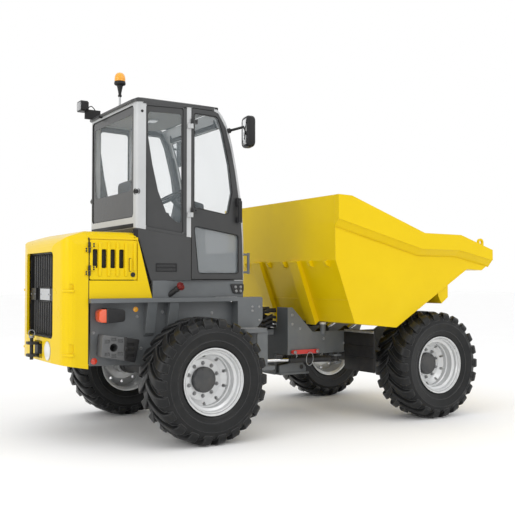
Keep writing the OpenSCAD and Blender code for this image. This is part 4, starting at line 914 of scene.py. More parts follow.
seal = prismPiece("hood_seal", [(-2.164, 0.745), (-2.156, 0.745), (-2.156, 1.89), (-2.164, 1.89)], "Y",
                  -0.640, -0.6553, 0)
bothSides(seal, "hood_seal", rubberSheet)
jaw = [rodPiece("pinHead", (-2.485, 0, 0.955), (-2.485, 0, 0.975), 0.026, 24),
       pipePiece("pinRing", [(-2.485 + 0.03 * math.cos(a / 6 * math.pi), 0.0,
                              1.000 + 0.03 * math.sin(a / 6 * math.pi)) for a in range(12)], 0.005, True)]
finishPiece(joinPieces(jaw, "jaw_pin_head"), stepMetal)
print("tail dressed")


# cab outside: seals, gaskets, handles, vent, catches, roof fittings
cabPlan = {"foot": 1.5, "height": 1.7, "front": -0.515, "rear": -1.69, "post": -1.15, "half": 0.69,
           "rearHalf": 0.615, "waist": 2.0}


def cabFront(z):
    p = max(0.0, (z - cabPlan["foot"]) / cabPlan["height"])
    return cabPlan["front"] - 0.25 * p ** 2.1 - 0.085 * p ** 20


def waistAt(x):
    return cabPlan["waist"] - 0.15 * (x - cabPlan["rear"])


def sideY(x):
    if x < cabPlan["post"]:
        return cabPlan["rearHalf"] + 0.075 * (x - cabPlan["rear"]) / 0.54
    return cabPlan["half"] - 0.03 * (x - cabPlan["post"]) / 0.635


def onSide(path, sink):
    return [(u, -(sideY(u) - sink), v) for u, v in path]


def doorOutline(g):
    x0, z0, z1 = -1.135, 1.515, 3.18
    front = [(cabFront(z) - 0.03 + g, z) for z in [z0 - g] + [z0 + (z1 - 0.15 - z0) * i / 9
                                                              for i in range(1, 10)]]
    top = cabFront(z1 - 0.07) - 0.03
    return ([(x0 - g, z0 - g)] + front + [(top - 0.012 + g, z1 - 0.07),
                                          (top - 0.042 + 0.7 * g, z1 - 0.024 + 0.7 * g),
                                          (top - 0.105, z1 + g), (x0 - g, z1 + g)])


def doorUpper(t):
    x0 = -1.111
    z0 = waistAt(x0) + 0.3
    zm, z1 = z0 + 0.3, 3.18

    def front(z):
        return cabFront(z) - 0.03
    low = front(z0) - 0.135
    return roundPath([(x0 + t, z0 + t, 0.025), (low - t, waistAt(low) + 0.3 + t, 0.045),
                      (front(zm - 0.13) - 0.062 - t, zm - 0.13, 0),
                      (front(zm + 0.15) - 0.05 - t, zm + 0.15, 0),
                      (front(z1 - 0.19) - 0.048 - t, z1 - 0.19, 0),
                      (front(z1 - 0.19) - 0.105 - t, z1 - 0.05 - t, 0.05), (x0 + t, z1 - 0.045 - t, 0.025)])


def doorLower(t):
    x0, x1 = -1.111, cabFront(1.575) - 0.08
    return roundPath([(x0 + 0.05 + t, 1.57 + t, 0.035), (x1 - t, 1.57 + t, 0.03),
                      (x1 - t, waistAt(x1) + 0.12 - t, 0.03), (x0 + t, waistAt(x0) + 0.12 - t, 0.03)])


def quarterPane(t):
    x0, x1 = -1.59, -1.222
    return roundPath([(x0 + t, waistAt(x0) + 0.025 + t, 0.02), (x1 - t, waistAt(x1) + 0.025 + t, 0.02),
                      (x1 - t, 3.172 - t, 0.02), (x0 + t, 3.172 - t, 0.02)])


def gasket(name, path, radius):
    return pipePiece(name, path, radius, True, 2, False)


gaskets = [gasket("upperGasket", onSide(doorUpper(0.0), 0.003), 0.0055),
           gasket("lowerGasket", onSide(doorLower(0.0), 0.003), 0.0055)]
bothSides(gaskets, "door_gaskets", rubberSheet, "door_SIDE_body")
bothSides(gasket("door_seal", onSide(doorOutline(0.0045), 0.016), 0.0035), "door_seal", rubberSheet)
bothSides(gasket("quarter_gasket", onSide(quarterPane(0.0), 0.004), 0.005), "quarter_gasket", rubberSheet)
rearPath = [(cabPlan["rear"] + 0.004, u, v) for u, v in roundBox(-0.553, 2.105, 0.553, 3.172, 0.04)]
finishPiece(gasket("rear_gasket", rearPath, 0.005), rubberSheet)
screenPath = [(cabFront(v) - 0.003, u, v) for u, v in roundBox(-0.585, 1.79, 0.585, 3.05, 0.04)]
longPath = []
# the upright edges follow the curved screen
for first, last in zip(screenPath, screenPath[1:] + screenPath[:1]):
    parts = max(1, int((Vector(last) - Vector(first)).length / 0.1))
    for k in range(parts):
        spot = Vector(first).lerp(Vector(last), k / parts)
        longPath.append((cabFront(spot.z) - 0.003, spot.y, spot.z))
finishPiece(gasket("screen_gasket", longPath, 0.006), rubberSheet)
strip = boxPiece("waist_seal", (-1.693, -0.56, 2.002), (-1.680, 0.56, 2.044), 0.004)
finishPiece(strip, rubberSheet)

# door handle grip and lock, black over the painted handle
handleX = cabFront(2.08) - 0.03 - 0.012
grip = [boxPiece("grip", (handleX - 0.045, -0.728, 2.085), (handleX - 0.003, -0.700, 2.295), 0.009, 3),
        boxPiece("gripBase", (handleX - 0.048, -0.7035, 2.080), (handleX, -0.668, 2.135), 0.006),
        boxPiece("gripHead", (handleX - 0.050, -0.7035, 2.245), (handleX + 0.002, -0.664, 2.330), 0.010, 3),
        lathePiece("lockBarrel", [(0, 0), (0.013, 0), (0.013, 0.006), (0.010, 0.008), (0, 0.008)],
                   (handleX - 0.024, -0.703, 2.312), (0, -1, 0), 24)]
bothSides(grip, "door_grip", blackPlastic, "door_SIDE_body")
doorHinges = []
for z in (2.160, 3.025):
    doorHinges.append(rodPiece("hingePin", (-1.140, -0.704, z + 0.0005), (-1.140, -0.704, z + 0.048), 0.0138,
                               24, 0.002))
    doorHinges += hexBolt("hingeBolt", (-1.098, -0.704, z + 0.024), (0, -1, 0), 0.008, 0.005)
bothSides(doorHinges, "door_hinge_leaf", blackSteel, "door_SIDE_body")

# vent with two slots in the right quarter panel
sideTurn = math.degrees(math.atan2(0.075, 0.54))
vent = prismPiece("panel_vent", roundBox(-0.105, -0.041, 0.105, 0.041, 0.006), "Y", -0.004, 0.004, 0.0015)
for z in (-0.018, 0.018):
    cutPiece(vent, boxPiece("cut", (-0.094, -0.012, z - 0.013), (0.094, 0.0015, z + 0.013), 0))
vanes = [vent]
for z in (-0.018, 0.018):
    for k in range(2):
        blade = boxPiece("vane", (-0.094, -0.0030, z - 0.007 + k * 0.012),
                         (0.094, 0.0025, z - 0.004 + k * 0.012), 0)
        vanes.append(blade)
vent = turnPiece(joinPieces(vanes, "panel_vent"), (-1.390, -sideY(-1.390) - 0.0005, 1.625), (0, 0, -sideTurn))
finishPiece(vent, blackPlastic)

# door catch on each rear corner post
catch = lathePiece("post_catch", [(0, 0.0), (0.034, 0.0), (0.034, 0.008), (0.029, 0.011), (0.026, 0.007),
                                  (0.022, 0.007), (0.020, 0.018), (0.014, 0.023), (0, 0.024)],
                   (-1.668, -0.593, 2.344), (-0.72, -0.69, 0), 32)
bothSides(catch, "post_catch", blackPlastic, angle=30)
plug = lathePiece("post_plug", [(0, 0.0), (0.014, 0.0), (0.013, 0.004), (0.006, 0.006), (0, 0.006)],
                  (-1.630, -sideY(-1.630) + 0.0015, 3.110), (0.12, -1, 0), 20)
bothSides(plug, "post_plug", blackPlastic, angle=30)

# beacon: pole, tapered stem, base ring and ribbed dome
beaconAt = Vector((-1.63, -0.06, 0))
pole = [rodPiece("pole", beaconAt + Vector((0, 0, 3.225)), beaconAt + Vector((0, 0, 3.372)), 0.011, 20, 0),
        lathePiece("foot", [(0, 0), (0.026, 0), (0.026, 0.008), (0.014, 0.014), (0.0, 0.014)],
                   beaconAt + Vector((0, 0, 3.243)), (0, 0, 1), 24)]
finishPiece(joinPieces(pole, "beacon_pole"), lightGreyPaint)
stem = lathePiece("beacon_stem", [(0, 3.352), (0.015, 3.352), (0.019, 3.358), (0.019, 3.372), (0.014, 3.378),
                                  (0.017, 3.40), (0.028, 3.452), (0.031, 3.466), (0.052, 3.474),
                                  (0.058, 3.482), (0.058, 3.497), (0.0545, 3.501), (0.0545, 3.509),
                                  (0.0, 3.509)], beaconAt, (0, 0, 1), 40)
finishPiece(stem, blackPlastic, angle=35)
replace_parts(stem, "beacon")
domeProfile = [(0.0, 3.508), (0.054, 3.508)]
for k in range(4):
    domeProfile += [(0.0555, 3.513 + k * 0.009), (0.0535, 3.518 + k * 0.009)]
domeProfile += [(0.053, 3.552), (0.050, 3.566), (0.042, 3.582), (0.028, 3.595), (0.012, 3.6005),
                (0.0, 3.6015)]
dome = lathePiece("beacon_dome", domeProfile, beaconAt, (0, 0, 1), 48)
finishPiece(dome, amberLens, angle=60)
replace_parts(dome, "beacon")

# work lamps: bezels, lenses and the rear lamp's cable
rearLens = prismPiece("rear_lamp_lens", roundBox(0.434, 3.292, 0.546, 3.378, 0.016), "X", -1.866, -1.856,
                      0.004, 3)
finishPiece(rearLens, clearLens, angle=30)
bezel = prismPiece("rear_lamp_bezel", roundBox(0.422, 3.282, 0.558, 3.388, 0.02), "X", -1.864, -1.852, 0.003)
cutPiece(bezel, prismPiece("cut", roundBox(0.436, 3.294, 0.544, 3.376, 0.014), "X", -1.88, -1.84, 0))
finishPiece(bezel, blackPlastic)
fins = [boxPiece("fin", (-1.788, 0.428 + i * 0.0165, 3.292), (-1.779, 0.434 + i * 0.0165, 3.378), 0.001, 1)
        for i in range(8)]
finishPiece(joinPieces(fins, "rear_lamp_fins"), blackPlastic)
cable = pipePiece("lamp_cable", [(-1.782, 0.46, 3.31), (-1.755, 0.44, 3.335), (-1.735, 0.41, 3.315),
                                 (-1.712, 0.39, 3.262), (-1.700, 0.385, 3.236)], 0.005)
finishPiece(cable, rubberSheet)
clip = boxPiece("roof_clip", (-1.728, 0.255, 3.188), (-1.690, 0.295, 3.214), 0.005)
finishPiece(clip, blackPlastic)
frontLens = prismPiece("front_lamp_lens", roundBox(-0.526, 3.189, -0.454, 3.251, 0.012), "X", -0.763, -0.755,
                       0.003, 3)
bothSides(frontLens, "front_lamp_lens", clearLens, angle=30)

# mirror glass set in the heads, facing the operator
glass = prismPiece("mirror_glass", roundBox(-0.072, -0.127, 0.072, 0.127, 0.018), "X", -0.0315, -0.026, 0.001)
turnPiece(glass, (-0.585, -0.82, 2.98), (0, 0, -12))
bothSides(glass, "mirror_glass", mirrorFace)
shell = prismPiece("mirror_shell", roundBox(-0.098, -0.156, 0.098, 0.156, 0.055, 8), "X", -0.036, 0.058,
                   0.030, 4)
cutPiece(shell, prismPiece("cut", roundBox(-0.075, -0.130, 0.075, 0.130, 0.022), "X", -0.06, -0.0262, 0))
bothSides(turnPiece(shell, (-0.585, -0.82, 2.98), (0, 0, -12)), "mirror_shell", blackPlastic)
clamp = [rodPiece("clamp", (-0.590, -0.812, 3.020), (-0.580, -0.828, 3.060), 0.022, 20, 0.004),
         lathePiece("armFoot", [(0, -0.008), (0.026, -0.008), (0.026, 0.012), (0.017, 0.022), (0, 0.022)],
                    (-0.712, -0.672, 3.003), (0.6, -0.78, 0.15), 24)]
bothSides(clamp, "mirror_clamp", blackPlastic)
print("cab dressed")


# rear frame: chocks and filler on the right, mounts, teeth, treads and bolts
sidePlan = {"plateY": 0.590, "chockX": -2.06, "chockZ": 0.770, "chockW": 0.130,
            "fillerRoot": (-1.370, -0.611, 1.339), "fillerHead": (-1.285, -0.735, 1.440)}
cx, cz = sidePlan["chockX"], sidePlan["chockZ"]
y0, y1 = -sidePlan["plateY"] - sidePlan["chockW"], -sidePlan["plateY"] - 0.008
corners = [(cx - 0.004, cz + 0.041), (cx + 0.328, cz - 0.029), (cx + 0.373, cz + 0.184),
           (cx + 0.011, cz + 0.240)]


def chockLine(x, low):
    a, b = (corners[0], corners[1]) if low else (corners[3], corners[2])
    return (x, a[1] + (b[1] - a[1]) * (x - a[0]) / (b[0] - a[0]))


split = cx + 0.2305
grey = prismPiece("chock_grey", roundPath([(*corners[0], 0.014), (*chockLine(split - 0.002, True), 0.006),
                                           (*chockLine(split - 0.002, False), 0.006), (*corners[3], 0.014)]),
                  "Y", y0, y1, 0.004)
hole = (cx + 0.118, cz + 0.118)
cutPiece(grey, rodPiece("cut", (hole[0], y0 - 0.02, hole[1]), (hole[0], y1 + 0.02, hole[1]), 0.038, 32, 0))
for i in range(4):  # pockets moulded in the face
    a = i * math.pi / 2 + math.pi / 4
    px, pz = hole[0] + 0.088 * math.cos(a), hole[1] + 0.082 * math.sin(a)
    cutPiece(grey, boxPiece("cut", (px - 0.025, y0 - 0.01, pz - 0.016),
                            (px + 0.025, y0 + 0.012, pz + 0.016), 0))
for sign in (-1, 1):
    cutPiece(grey, boxPiece("cut", (hole[0] - 0.024, y0 - 0.01, hole[1] + sign * 0.076 - 0.016),
                            (hole[0] + 0.024, y0 + 0.012, hole[1] + sign * 0.076 + 0.016), 0))
finishPiece(grey, greyPlastic, "rear_frame")
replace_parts(grey, "wheel_chocks")
black = prismPiece("chock_black", roundPath([(*chockLine(split + 0.002, True), 0.006), (*corners[1], 0.014),
                                             (*corners[2], 0.014), (*chockLine(split + 0.002, False),
                                                                    0.006)]), "Y", y0, y1, 0.004)
for i in range(3):
    pz = cz + 0.022 + i * 0.050
    cutPiece(black, boxPiece("cut", (cx + 0.252, y0 - 0.01, pz), (cx + 0.322, y0 + 0.014, pz + 0.032), 0))
finishPiece(black, blackPlastic)
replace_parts(black, "wheel_chocks")
holder = [boxPiece("holder", (cx + 0.06, y1 - 0.004, cz + 0.05), (cx + 0.18, -sidePlan["plateY"], cz + 0.19),
                   0.003), boxPiece("strap", (cx + 0.218, y0 - 0.006, cz - 0.004),
                                    (cx + 0.243, y0 + 0.002, cz + 0.212), 0.002),
          rodPiece("knob", (cx + 0.2305, y0 - 0.022, cz + 0.105), (cx + 0.2305, y0 - 0.004, cz + 0.105),
                   0.016, 12, 0.003)]
finishPiece(joinPieces(holder, "chock_holder"), blackSteel)

root, head = Vector(sidePlan["fillerRoot"]), Vector(sidePlan["fillerHead"])
lift = (head - root).normalized()
neck = lathePiece("filler_neck", [(0, 0.0), (0.026, 0.0), (0.026, 0.13), (0.031, 0.135), (0.031, 0.150),
                                  (0.026, 0.154), (0.026, 0.165), (0, 0.165)], root, lift, 32)
cutPiece(neck, boxPiece("cut", (-1.6, -0.6551, 1.1), (-1.1, -0.40, 1.6), 0))
finishPiece(neck, blackSteel, angle=35)
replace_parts(neck, "filler_cap")
cap = [lathePiece("filler_lid", [(0, -0.006), (0.037, -0.006), (0.039, 0.0), (0.039, 0.022), (0.035, 0.029),
                                 (0.022, 0.031), (0.020, 0.029), (0, 0.029)], head, lift, 40)]
across = lift.orthogonal().normalized()
for i in range(14):
    out = Matrix.Rotation(i * math.tau / 14, 4, lift) @ across
    cap.append(rodPiece("ridge", head + out * 0.0385 + lift * 0.001, head + out * 0.0385 + lift * 0.022,
                        0.0035, 8, 0.001, 1))
cap.append(rodPiece("capBar", head + across * -0.030 + lift * 0.032, head + across * 0.030 + lift * 0.032,
                    0.008, 12, 0.002))
lid = finishPiece(joinPieces(cap, "filler_lid"), redPlastic, angle=35)
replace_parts(lid, "filler_cap")

# bolted cab mounts over the tanks
mount = prismPiece("cab_mount", roundPath([(-0.690, 1.466, 0.01), (-0.655, 1.372, 0.02),
                                           (-0.560, 1.366, 0.02), (-0.535, 1.400, 0.01),
                                           (-0.535, 1.466, 0.01)]), "Y", -0.671, -0.655, 0.003)
bothSides(mount, "cab_mount", blackSteel)
mountSpots = ((-0.632, 1.436), (-0.572, 1.436), (-0.624, 1.396), (-0.572, 1.396))
bolts = boltRow("mountBolt", mountSpots, -0.671, 0.010, 0.008)
bothSides(bolts, "mount_bolts", stepMetal)

grip = []
for i in range(12):  # raised teeth on the top of the tank
    tx = -0.876 + i * 0.0205
    grip.append(boxPiece("tooth", (tx, -0.713, 1.333), (tx + 0.011, -0.699, 1.343), 0.002, 1))
    grip.append(boxPiece("tooth", (tx + 0.010, -0.692, 1.333), (tx + 0.021, -0.678, 1.343), 0.002, 1))
bothSides(grip, "tank_grip", stepMetal)
treads = []
for x0, x1, ya, yb, top in ((-0.690, -0.420, -0.950, -0.720, 1.030), (-0.570, -0.330, -0.950, -0.745, 0.655)):
    cols, rows = int((x1 - x0 - 0.05) / 0.032), int((yb - ya - 0.04) / 0.032)
    for i in range(cols + 1):
        for j in range(rows + 1):
            px, py = x0 + 0.026 + i * 0.032, ya + 0.022 + j * 0.032
            treads.append(rodPiece("stud", (px, py, top - 0.001), (px, py, top + 0.004),
                                   0.009, 10, 0.0015, 1))
bothSides(treads, "step_studs", stepMetal)
tankSpots = ((-0.462, 1.235), (-0.462, 1.195), (-0.380, 1.235), (-0.380, 1.10))
plateSpots = ((-2.09, 1.02), (-1.66, 1.16), (-1.40, 1.20), (-0.86, 1.18), (-0.76, 0.96), (-1.62, 0.86))
frameBolts = boltRow("tankBolt", tankSpots, -0.715, 0.009, 0.007)
frameBolts += boltRow("frameBolt", plateSpots, -sidePlan["plateY"], 0.011, 0.008)
bothSides(frameBolts, "frame_bolts", stepMetal)
print("rear frame dressed")


# articulation: hoses over the joint, pin cap, lock pins and steering fittings
plate = [boxPiece("hosePlate", (-0.232, -0.215, 0.858), (-0.216, 0.215, 1.225), 0.004)]
plate.append(boxPiece("hoseFoot", (-0.234, -0.085, 0.78), (-0.205, 0.085, 0.90), 0.004))
finishPiece(joinPieces(plate, "hose_plate"), blackSteel, "yoke")
hosePlan = {"lanes": (-0.185, -0.125, -0.06, 0.02, 0.09), "low": 0.995, "rise": 0.052,
            "sizes": (0.011, 0.0145, 0.017)}
rearHoses, frontHoses = [], []
for lane, y in enumerate(hosePlan["lanes"]):
    between = lane % 2  # every other lane sits half a step higher and closes the gaps
    for k in range(5 - between):
        z = hosePlan["low"] + (k + between * 0.5) * hosePlan["rise"] + random.uniform(-0.010, 0.010)
        size = random.choice(hosePlan["sizes"])
        a, b, c, d = [random.uniform(-0.022, 0.022) for bend in range(4)]
        rearHoses.append(pipePiece("hose", [(-0.445, y * 1.1 + a, z + b), (-0.36, y * 1.05 + b, z + c),
                                            (-0.29, y, z + a * 0.5), (-0.222, y, z)], size))
        frontHoses.append(pipePiece("hose", [(-0.226, y, z), (-0.13, y * 1.05 + c, z + 0.03 + d),
                                             (-0.02, y * 1.15 + d, z - 0.01 + c), (0.075, y * 1.12, z + b),
                                             (0.150, y * 1.1, z + a * 0.4)], size))
        for collar in (-0.232, -0.212):
            frontHoses.append(rodPiece("collar", (collar - 0.012, y, z), (collar + 0.012, y, z), size + 0.004,
                                       6, 0.001, 1))
for k in range(6):  # thick sleeves along the left side
    z = 0.985 + k * 0.046
    drift = random.uniform(-0.008, 0.008)
    rearHoses.append(pipePiece("sleeve", [(-0.445, 0.215, z + drift), (-0.33, 0.205, z - drift),
                                          (-0.222, 0.20, z)], 0.0235))
    frontHoses.append(pipePiece("sleeve", [(-0.226, 0.20, z), (-0.10, 0.215, z + 0.012 + drift),
                                           (0.03, 0.225, z - drift), (0.150, 0.215, z)], 0.0235))
rearBundle = joinPieces(rearHoses, "hoses_rear")
frontBundle = joinPieces(frontHoses, "hoses_front")
for bundle, bodies, start, end in ((rearBundle, ("rear_frame", "yoke"), (-0.43, 0, 1.0), (-0.24, 0, 1.0)),
                                   (frontBundle, ("yoke", "front_frame"), (-0.21, 0, 1.0), (0.13, 0, 1.0))):
    only(bundle)
    bundle.data.materials.clear()
    bundle.data.materials.append(hoseRubber)
    bpy.ops.object.shade_smooth_by_angle(angle=math.radians(50))
    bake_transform(bundle)
caps = [lathePiece("artCap", [(0, 0), (0.070, 0), (0.070, 0.010), (0.064, 0.014), (0, 0.014)],
                   (-0.06, 0, 0.970), (0, 0, 1), 36)]
for i in range(4):
    a = i * math.pi / 2 + 0.78
    caps += hexBolt("capBolt", (-0.06 + 0.05 * math.cos(a), 0.05 * math.sin(a), 0.984), (0, 0, 1),
                    0.009, 0.007)
finishPiece(joinPieces(caps, "joint_cap"), blackSteel, "yoke")

lockPlan = {"pins": (0.205, 0.500), "pinZ": 0.730, "ringAt": (0.40, -0.502, 0.652),
            "ringSize": (0.045, 0.006, 0.072)}
lock = []
for x in lockPlan["pins"]:
    z = lockPlan["pinZ"]
    lock.append(rodPiece("lockPin", (x, -0.512, z), (x, -0.506, z), 0.019, 20, 0.002))
    lock.append(rodPiece("lockPinEnd", (x, -0.520, z), (x, -0.508, z), 0.009, 16, 0.002))
finishPiece(joinPieces(lock, "lock_pins"), stepMetal, "front_frame")
(x, y, z), (wide, deep, tall) = lockPlan["ringAt"], lockPlan["ringSize"]
ring = []
for i in range(16):
    a = i * math.tau / 16
    ring.append((x + wide * math.sin(a), y - deep * math.cos(a), z + tall * math.cos(a)))
wire = [pipePiece("wire", ring, 0.0035, True, 2),
        pipePiece("wire", [(0.215, -0.510, 0.722), (0.222, -0.514, 0.690), (0.212, -0.512, 0.672)], 0.0035)]
finishPiece(joinPieces(wire, "lock_wire"), cableSteel, "front_frame")
for side, sign in (("right", -1), ("left", 1)):
    foot, heel = Vector((0.77, sign * 0.48, 0.638)), Vector((-0.08, sign * 0.30, 0.638))
    run = (heel - foot).normalized()
    barrel = [rodPiece("glandRing", foot + run * 0.542, foot + run * 0.568, 0.040, 28, 0.003),
              rodPiece("endRing", foot + run * 0.076, foot + run * 0.094, 0.039, 28, 0.003)]
    for along in (0.13, 0.50):
        port = foot + run * along
        barrel.append(rodPiece("port", port + Vector((0, 0, 0.030)), port + Vector((0, 0, 0.056)),
                               0.014, 16, 0.002))
    finishPiece(joinPieces(barrel, "steer_fittings_" + side), blackSteel, "steer_barrel_%s_body" % side)
print("articulation dressed")


# skip: weld lines, fold lugs, pivot caps and rest pads
skipPlan = {"back": 0.290, "foot": 0.547, "foldZ": 1.710, "footZ": 1.055, "creaseZ": 1.30, "sideY": -1.0985,
            "pivot": (1.83, 1.09)}


def backX(z):
    p = skipPlan
    return p["back"] + 0.010 + (p["foldZ"] - z) / (p["foldZ"] - p["footZ"]) * (p["foot"] - p["back"] - 0.010)


def weldLine(name, points, radius=0.0045):
    # a bead with a slight ripple along a straight run
    path = []
    for a, b in zip(points, points[1:]):
        a, b = Vector(a), Vector(b)
        steps = max(2, int((b - a).length / 0.012))
        for k in range(steps):
            ripple = Vector([random.uniform(-1, 1) for axis in range(3)]) * 0.0006
            path.append(a.lerp(b, k / steps) + ripple)
    path.append(Vector(points[-1]))
    return pipePiece(name, [tuple(p) for p in path], radius, False, 2, False)


z, y = skipPlan["creaseZ"], skipPlan["sideY"]
x = backX(z) - 0.001
welds = [weldLine("crease", [(x, -1.098, z), (x, -0.472, z)], 0.004),
         weldLine("crease", [(x, -0.298, z), (x, 0.0, z)], 0.004)]
for ribY in (-0.30, -0.47):
    welds.append(weldLine("ribWeld", [(backX(1.70) - 0.003, ribY, 1.70), (backX(1.07) - 0.003, ribY, 1.07)]))
rimLine = ((0.30, 2.045), (1.43, 1.768), (1.99, 1.768), (2.52, 1.662))
welds.append(weldLine("rimWeld", [(x, -1.102, z) for x, z in rimLine]))
edgeLine = ((0.2915, 2.36), (0.300, 1.71), (0.547, 1.056), (1.11, 1.001), (2.18, 1.634))
welds.append(weldLine("cornerWeld", [(x, y, z) for x, z in edgeLine], 0.004))
bothSides(welds, "skip_welds", skipYellow, "skip_body", angle=60)
lugShape = [(0.262, 1.700), (0.302, 1.715), (0.330, 1.640), (0.285, 1.655)]
lugs = [prismPiece("foldLug", lugShape, "Y", y - 0.022, y + 0.022, 0.003) for y in (-0.95, -0.66, -0.16)]
bothSides(lugs, "fold_lugs", skipYellow, "skip_body")
px, pz = skipPlan["pivot"]
capProfile = [(0, 0), (0.052, 0), (0.052, 0.010), (0.046, 0.015), (0, 0.015)]
pivot = [lathePiece("pivotCap", capProfile, (px, -0.500, pz), (0, -1, 0), 36)]
capSpots = [(px + 0.032 * math.cos(a * 2.094), pz + 0.032 * math.sin(a * 2.094)) for a in range(3)]
pivot += boltRow("pivotBolt", capSpots, -0.515, 0.007, 0.005)
bothSides(pivot, "pivot_cap", blackSteel, "skip_body")
pad = lathePiece("rest_pad", [(0, 0), (0.034, 0), (0.034, 0.020), (0.028, 0.026), (0, 0.026)],
                 (0.617, -0.4475, 1.018), (0, 0, 1), 28)
bothSides(pad, "rest_pad", whiteEnamel, "front_frame")
print("skip dressed")


# mudflaps: two bands of upright moulded ribs over a plain thick foot, and clamp bars
flapPlan = {"inner": -0.470, "outer": -0.975, "ribs": 27, "bands": ((0.672, 0.785), (0.797, 0.920))}
flap = [boxPiece("flapFoot", (0.8985, flapPlan["outer"], 0.518), (0.9060, flapPlan["inner"], 0.660), 0.003)]
pitch = (flapPlan["inner"] - flapPlan["outer"]) / flapPlan["ribs"]
for low, high in flapPlan["bands"]:
    for i in range(flapPlan["ribs"]):
        y = flapPlan["outer"] + (i + 0.22) * pitch
        flap.append(boxPiece("flapRib", (0.8975, y, low), (0.9060, y + 0.56 * pitch, high), 0.002, 1))
bothSides(flap, "flap_ribs", rubberSheet, "front_frame")
bar = [boxPiece("clampBar", (0.896, -0.978, 0.930), (0.904, -0.468, 0.958), 0.002)]
for y in (-0.95, -0.84, -0.73, -0.62, -0.51):
    bar += hexBolt("clampBolt", (0.896, y, 0.944), (-1, 0, 0), 0.008, 0.006)
bothSides(bar, "flap_clamp", stepMetal, "front_frame")
sideSpots = ((0.20, 1.13), (0.20, 1.03), (0.30, 0.98), (0.62, 0.86), (0.90, 0.80), (1.22, 0.83), (1.46, 0.84))
frontBolts = boltRow("sideBolt", sideSpots, -0.460, 0.011, 0.008)
bothSides(frontBolts, "front_bolts", stepMetal, "front_frame")
print("front frame dressed")


# seat: two sewn cushions, shell, bellows and armrests
seatPlan = {"voxel": 0.006, "pressure": 4.0, "frames": 20, "cap": 0.017, "back": (-1.432, 0, 1.972),
            "lean": -7.0}


def swellPad(obj, sewn):
    # sewn lines stay put while the rest fills out, so the channels form between them
    only(obj)
    obj.data.remesh_voxel_size = seatPlan["voxel"]
    bpy.ops.object.voxel_remesh()
    before = [v.co.copy() for v in obj.data.vertices]
    group = obj.vertex_groups.new(name="sewn")
    group.add([v.index for v in obj.data.vertices if sewn(v.co)], 1.0, "REPLACE")
    cloth = obj.modifiers.new("Fill", "CLOTH")
    cloth.settings.quality = 4
    cloth.settings.use_pressure = True
    cloth.settings.uniform_pressure_force = seatPlan["pressure"]
    cloth.settings.effector_weights.gravity = 0
    cloth.settings.vertex_group_mass = "sewn"
    cloth.collision_settings.use_collision = False
    for step in range(1, seatPlan["frames"] + 1):
        bpy.context.scene.frame_set(step)
    only(obj)
    bpy.ops.object.modifier_apply(modifier=cloth.name)
    bpy.context.scene.frame_set(1)
    obj.vertex_groups.clear()
    for v, old in zip(obj.data.vertices, before):
        moved = v.co - old
        if moved.length > seatPlan["cap"]:
            v.co = old + moved.normalized() * seatPlan["cap"]
    applyMod(obj, "SMOOTH", factor=0.5, iterations=3)
    return obj


def finishPad(obj):
    finishPiece(obj, seatCloth, angle=60)
    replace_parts(obj, "seat")


def cushionSewn(p):
    across = abs(p.x + 1.19) < 0.005 and abs(p.y) < 0.135
    return p.z < 1.918 or (p.z > 1.98 and (abs(abs(p.y) - 0.135) < 0.005 or across))


def backSewn(p):
    across = min(abs(p.z - 0.19), abs(p.z - 0.40)) < 0.005 and abs(p.y) < 0.125
    return p.x < -0.031 or (p.x > 0.03 and (abs(abs(p.y) - 0.125) < 0.005 or across))


def backOutline(foot, low, wide, head, high):
    return roundPath([(-foot, low, 0.04), (foot, low, 0.04), (wide, 0.33, 0.12), (head, high, 0.07),
                      (-head, high, 0.07), (-wide, 0.33, 0.12)])


cushion = prismPiece("seat_cushion", roundBox(-1.508, -0.236, -1.064, 0.236, 0.07), "Z",
                     1.912, 2.004, 0.026, 3)
finishPad(swellPad(cushion, cushionSewn))
backPad = prismPiece("seat_back", backOutline(0.195, 0.0, 0.226, 0.178, 0.552), "X", -0.036, 0.038, 0.024, 3)
swellPad(backPad, backSewn)
finishPad(turnPiece(backPad, seatPlan["back"], (0, seatPlan["lean"], 0)))
shell = [prismPiece("backShell", backOutline(0.20, 0.02, 0.222, 0.176, 0.54), "X", -0.058, -0.036, 0.008, 3)]
turnPiece(shell[0], seatPlan["back"], (0, seatPlan["lean"], 0))
shell.append(boxPiece("pan", (-1.50, -0.225, 1.893), (-1.075, 0.225, 1.916), 0.008))
for sign in (-1, 1):
    post, rest = sign * 0.268, sign * 0.285
    shell.append(boxPiece("armPost", (-1.472, post - 0.022, 1.955), (-1.428, post + 0.022, 2.160), 0.01, 3))
    shell.append(boxPiece("armRest", (-1.488, rest - 0.030, 2.137), (-1.192, rest + 0.030, 2.184), 0.018, 4))
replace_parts(finishPiece(joinPieces(shell, "seat_shell"), blackPlastic), "seat")
bellows = []
for k in range(8):
    tuck, z = 0.012 * (k % 2), 1.600 + k * 0.036
    low, high = (-1.436 + tuck, -0.186 + tuck, z), (-1.154 - tuck, 0.186 - tuck, z + 0.040)
    bellows.append(boxPiece("fold", low, high, 0.012, 3))
bellows.append(boxPiece("base", (-1.44, -0.19, 1.546), (-1.15, 0.19, 1.604), 0.006))
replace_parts(finishPiece(joinPieces(bellows, "seat_bellows"), rubberSheet), "seat")
print("seat made")


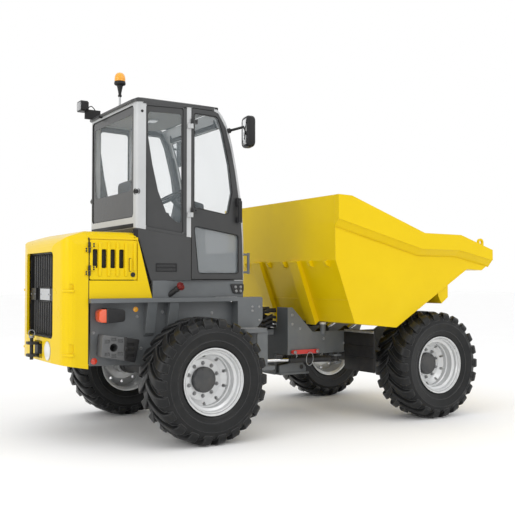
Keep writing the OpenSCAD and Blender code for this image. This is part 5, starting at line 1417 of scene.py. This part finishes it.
# roof lining with its lamp, blind at the top of the screen, rail covers, trims and seals
lining = prismPiece("roof_lining", roundBox(-1.618, -0.565, -0.918, 0.565, 0.05), "Z", 3.166, 3.199, 0.012, 3)
finishPiece(lining, headliner)
lamp = prismPiece("roof_lamp", roundBox(-1.30, -0.085, -1.20, 0.085, 0.049), "Z", 3.150, 3.170, 0.007, 3)
finishPiece(lamp, clearLens)
blindX = cabFront(3.04) - 0.040
blind = [rodPiece("blindRoll", (blindX, -0.50, 3.075), (blindX, 0.50, 3.075), 0.024, 20, 0.004)]
for y in (-0.508, 0.508):
    blind.append(boxPiece("blindEnd", (blindX - 0.028, y - 0.010, 3.045),
                          (blindX + 0.028, y + 0.010, 3.140), 0.006))
finishPiece(joinPieces(blind, "screen_blind"), blackPlastic)
cover = prismPiece("rail_cover", [(-1.622, -0.6240), (-1.15, -0.6895), (-0.885, -0.6770), (-0.885, -0.6815),
                                  (-1.15, -0.6945), (-1.622, -0.6290)], "Z", 3.1845, 3.2025, 0.001, 1)
bothSides(cover, "rail_cover", darkGreyPaint)


def panePiece(name, ring, thick):
    deselectAll()
    bpy.ops.mesh.primitive_circle_add(vertices=len(ring), fill_type="NGON")
    obj = bpy.context.object
    obj.name = name
    for vert, spot in zip(obj.data.vertices, ring):
        vert.co = spot
    applyMod(obj, "SOLIDIFY", thickness=thick, offset=0)
    return cleanMesh(obj)


rear, inner, front = -1.592, -1.224, -1.190
rearZ, innerZ, frontZ = waistAt(rear), waistAt(inner), waistAt(front)
sill = [(rear, rearZ), (front, frontZ), (front, frontZ + 0.027), (rear, rearZ + 0.027)]
edge = [(inner, innerZ + 0.02), (front, frontZ + 0.02), (front, 3.185), (inner, 3.185)]
head = [(rear, 3.170), (front, 3.170), (front, 3.1995), (rear, 3.1995)]
trim = [panePiece("trim", onSide(outline, -0.001), 0.003) for outline in (sill, edge, head)]
bothSides(trim, "quarter_trim", darkGreyPaint)
bothSides(panePiece("lower_tint", onSide(doorLower(-0.006), 0.026), 0.002), "lower_tint", tintFilm,
          "door_SIDE_body")
# painted shade: a dark rubber sheet behind the louvre slots so that they read dark
shadeSheet = boxPiece("louvre_shade_sheet", (-2.137, -0.6305, 1.598), (-1.803, -0.6245, 1.802), 0.002)
bothSides(shadeSheet, "louvre_shade_sheet", rubberSheet, "side_door_SIDE_body")
gapStrip = prismPiece("slant_seal", [(-1.592, 1.47), (-1.512, 1.47), (-1.637, 1.985), (-1.717, 1.985)], "Y",
                      -0.612, -0.600, 0.002)
bothSides(gapStrip, "slant_seal", rubberSheet)
print("cab inside dressed")
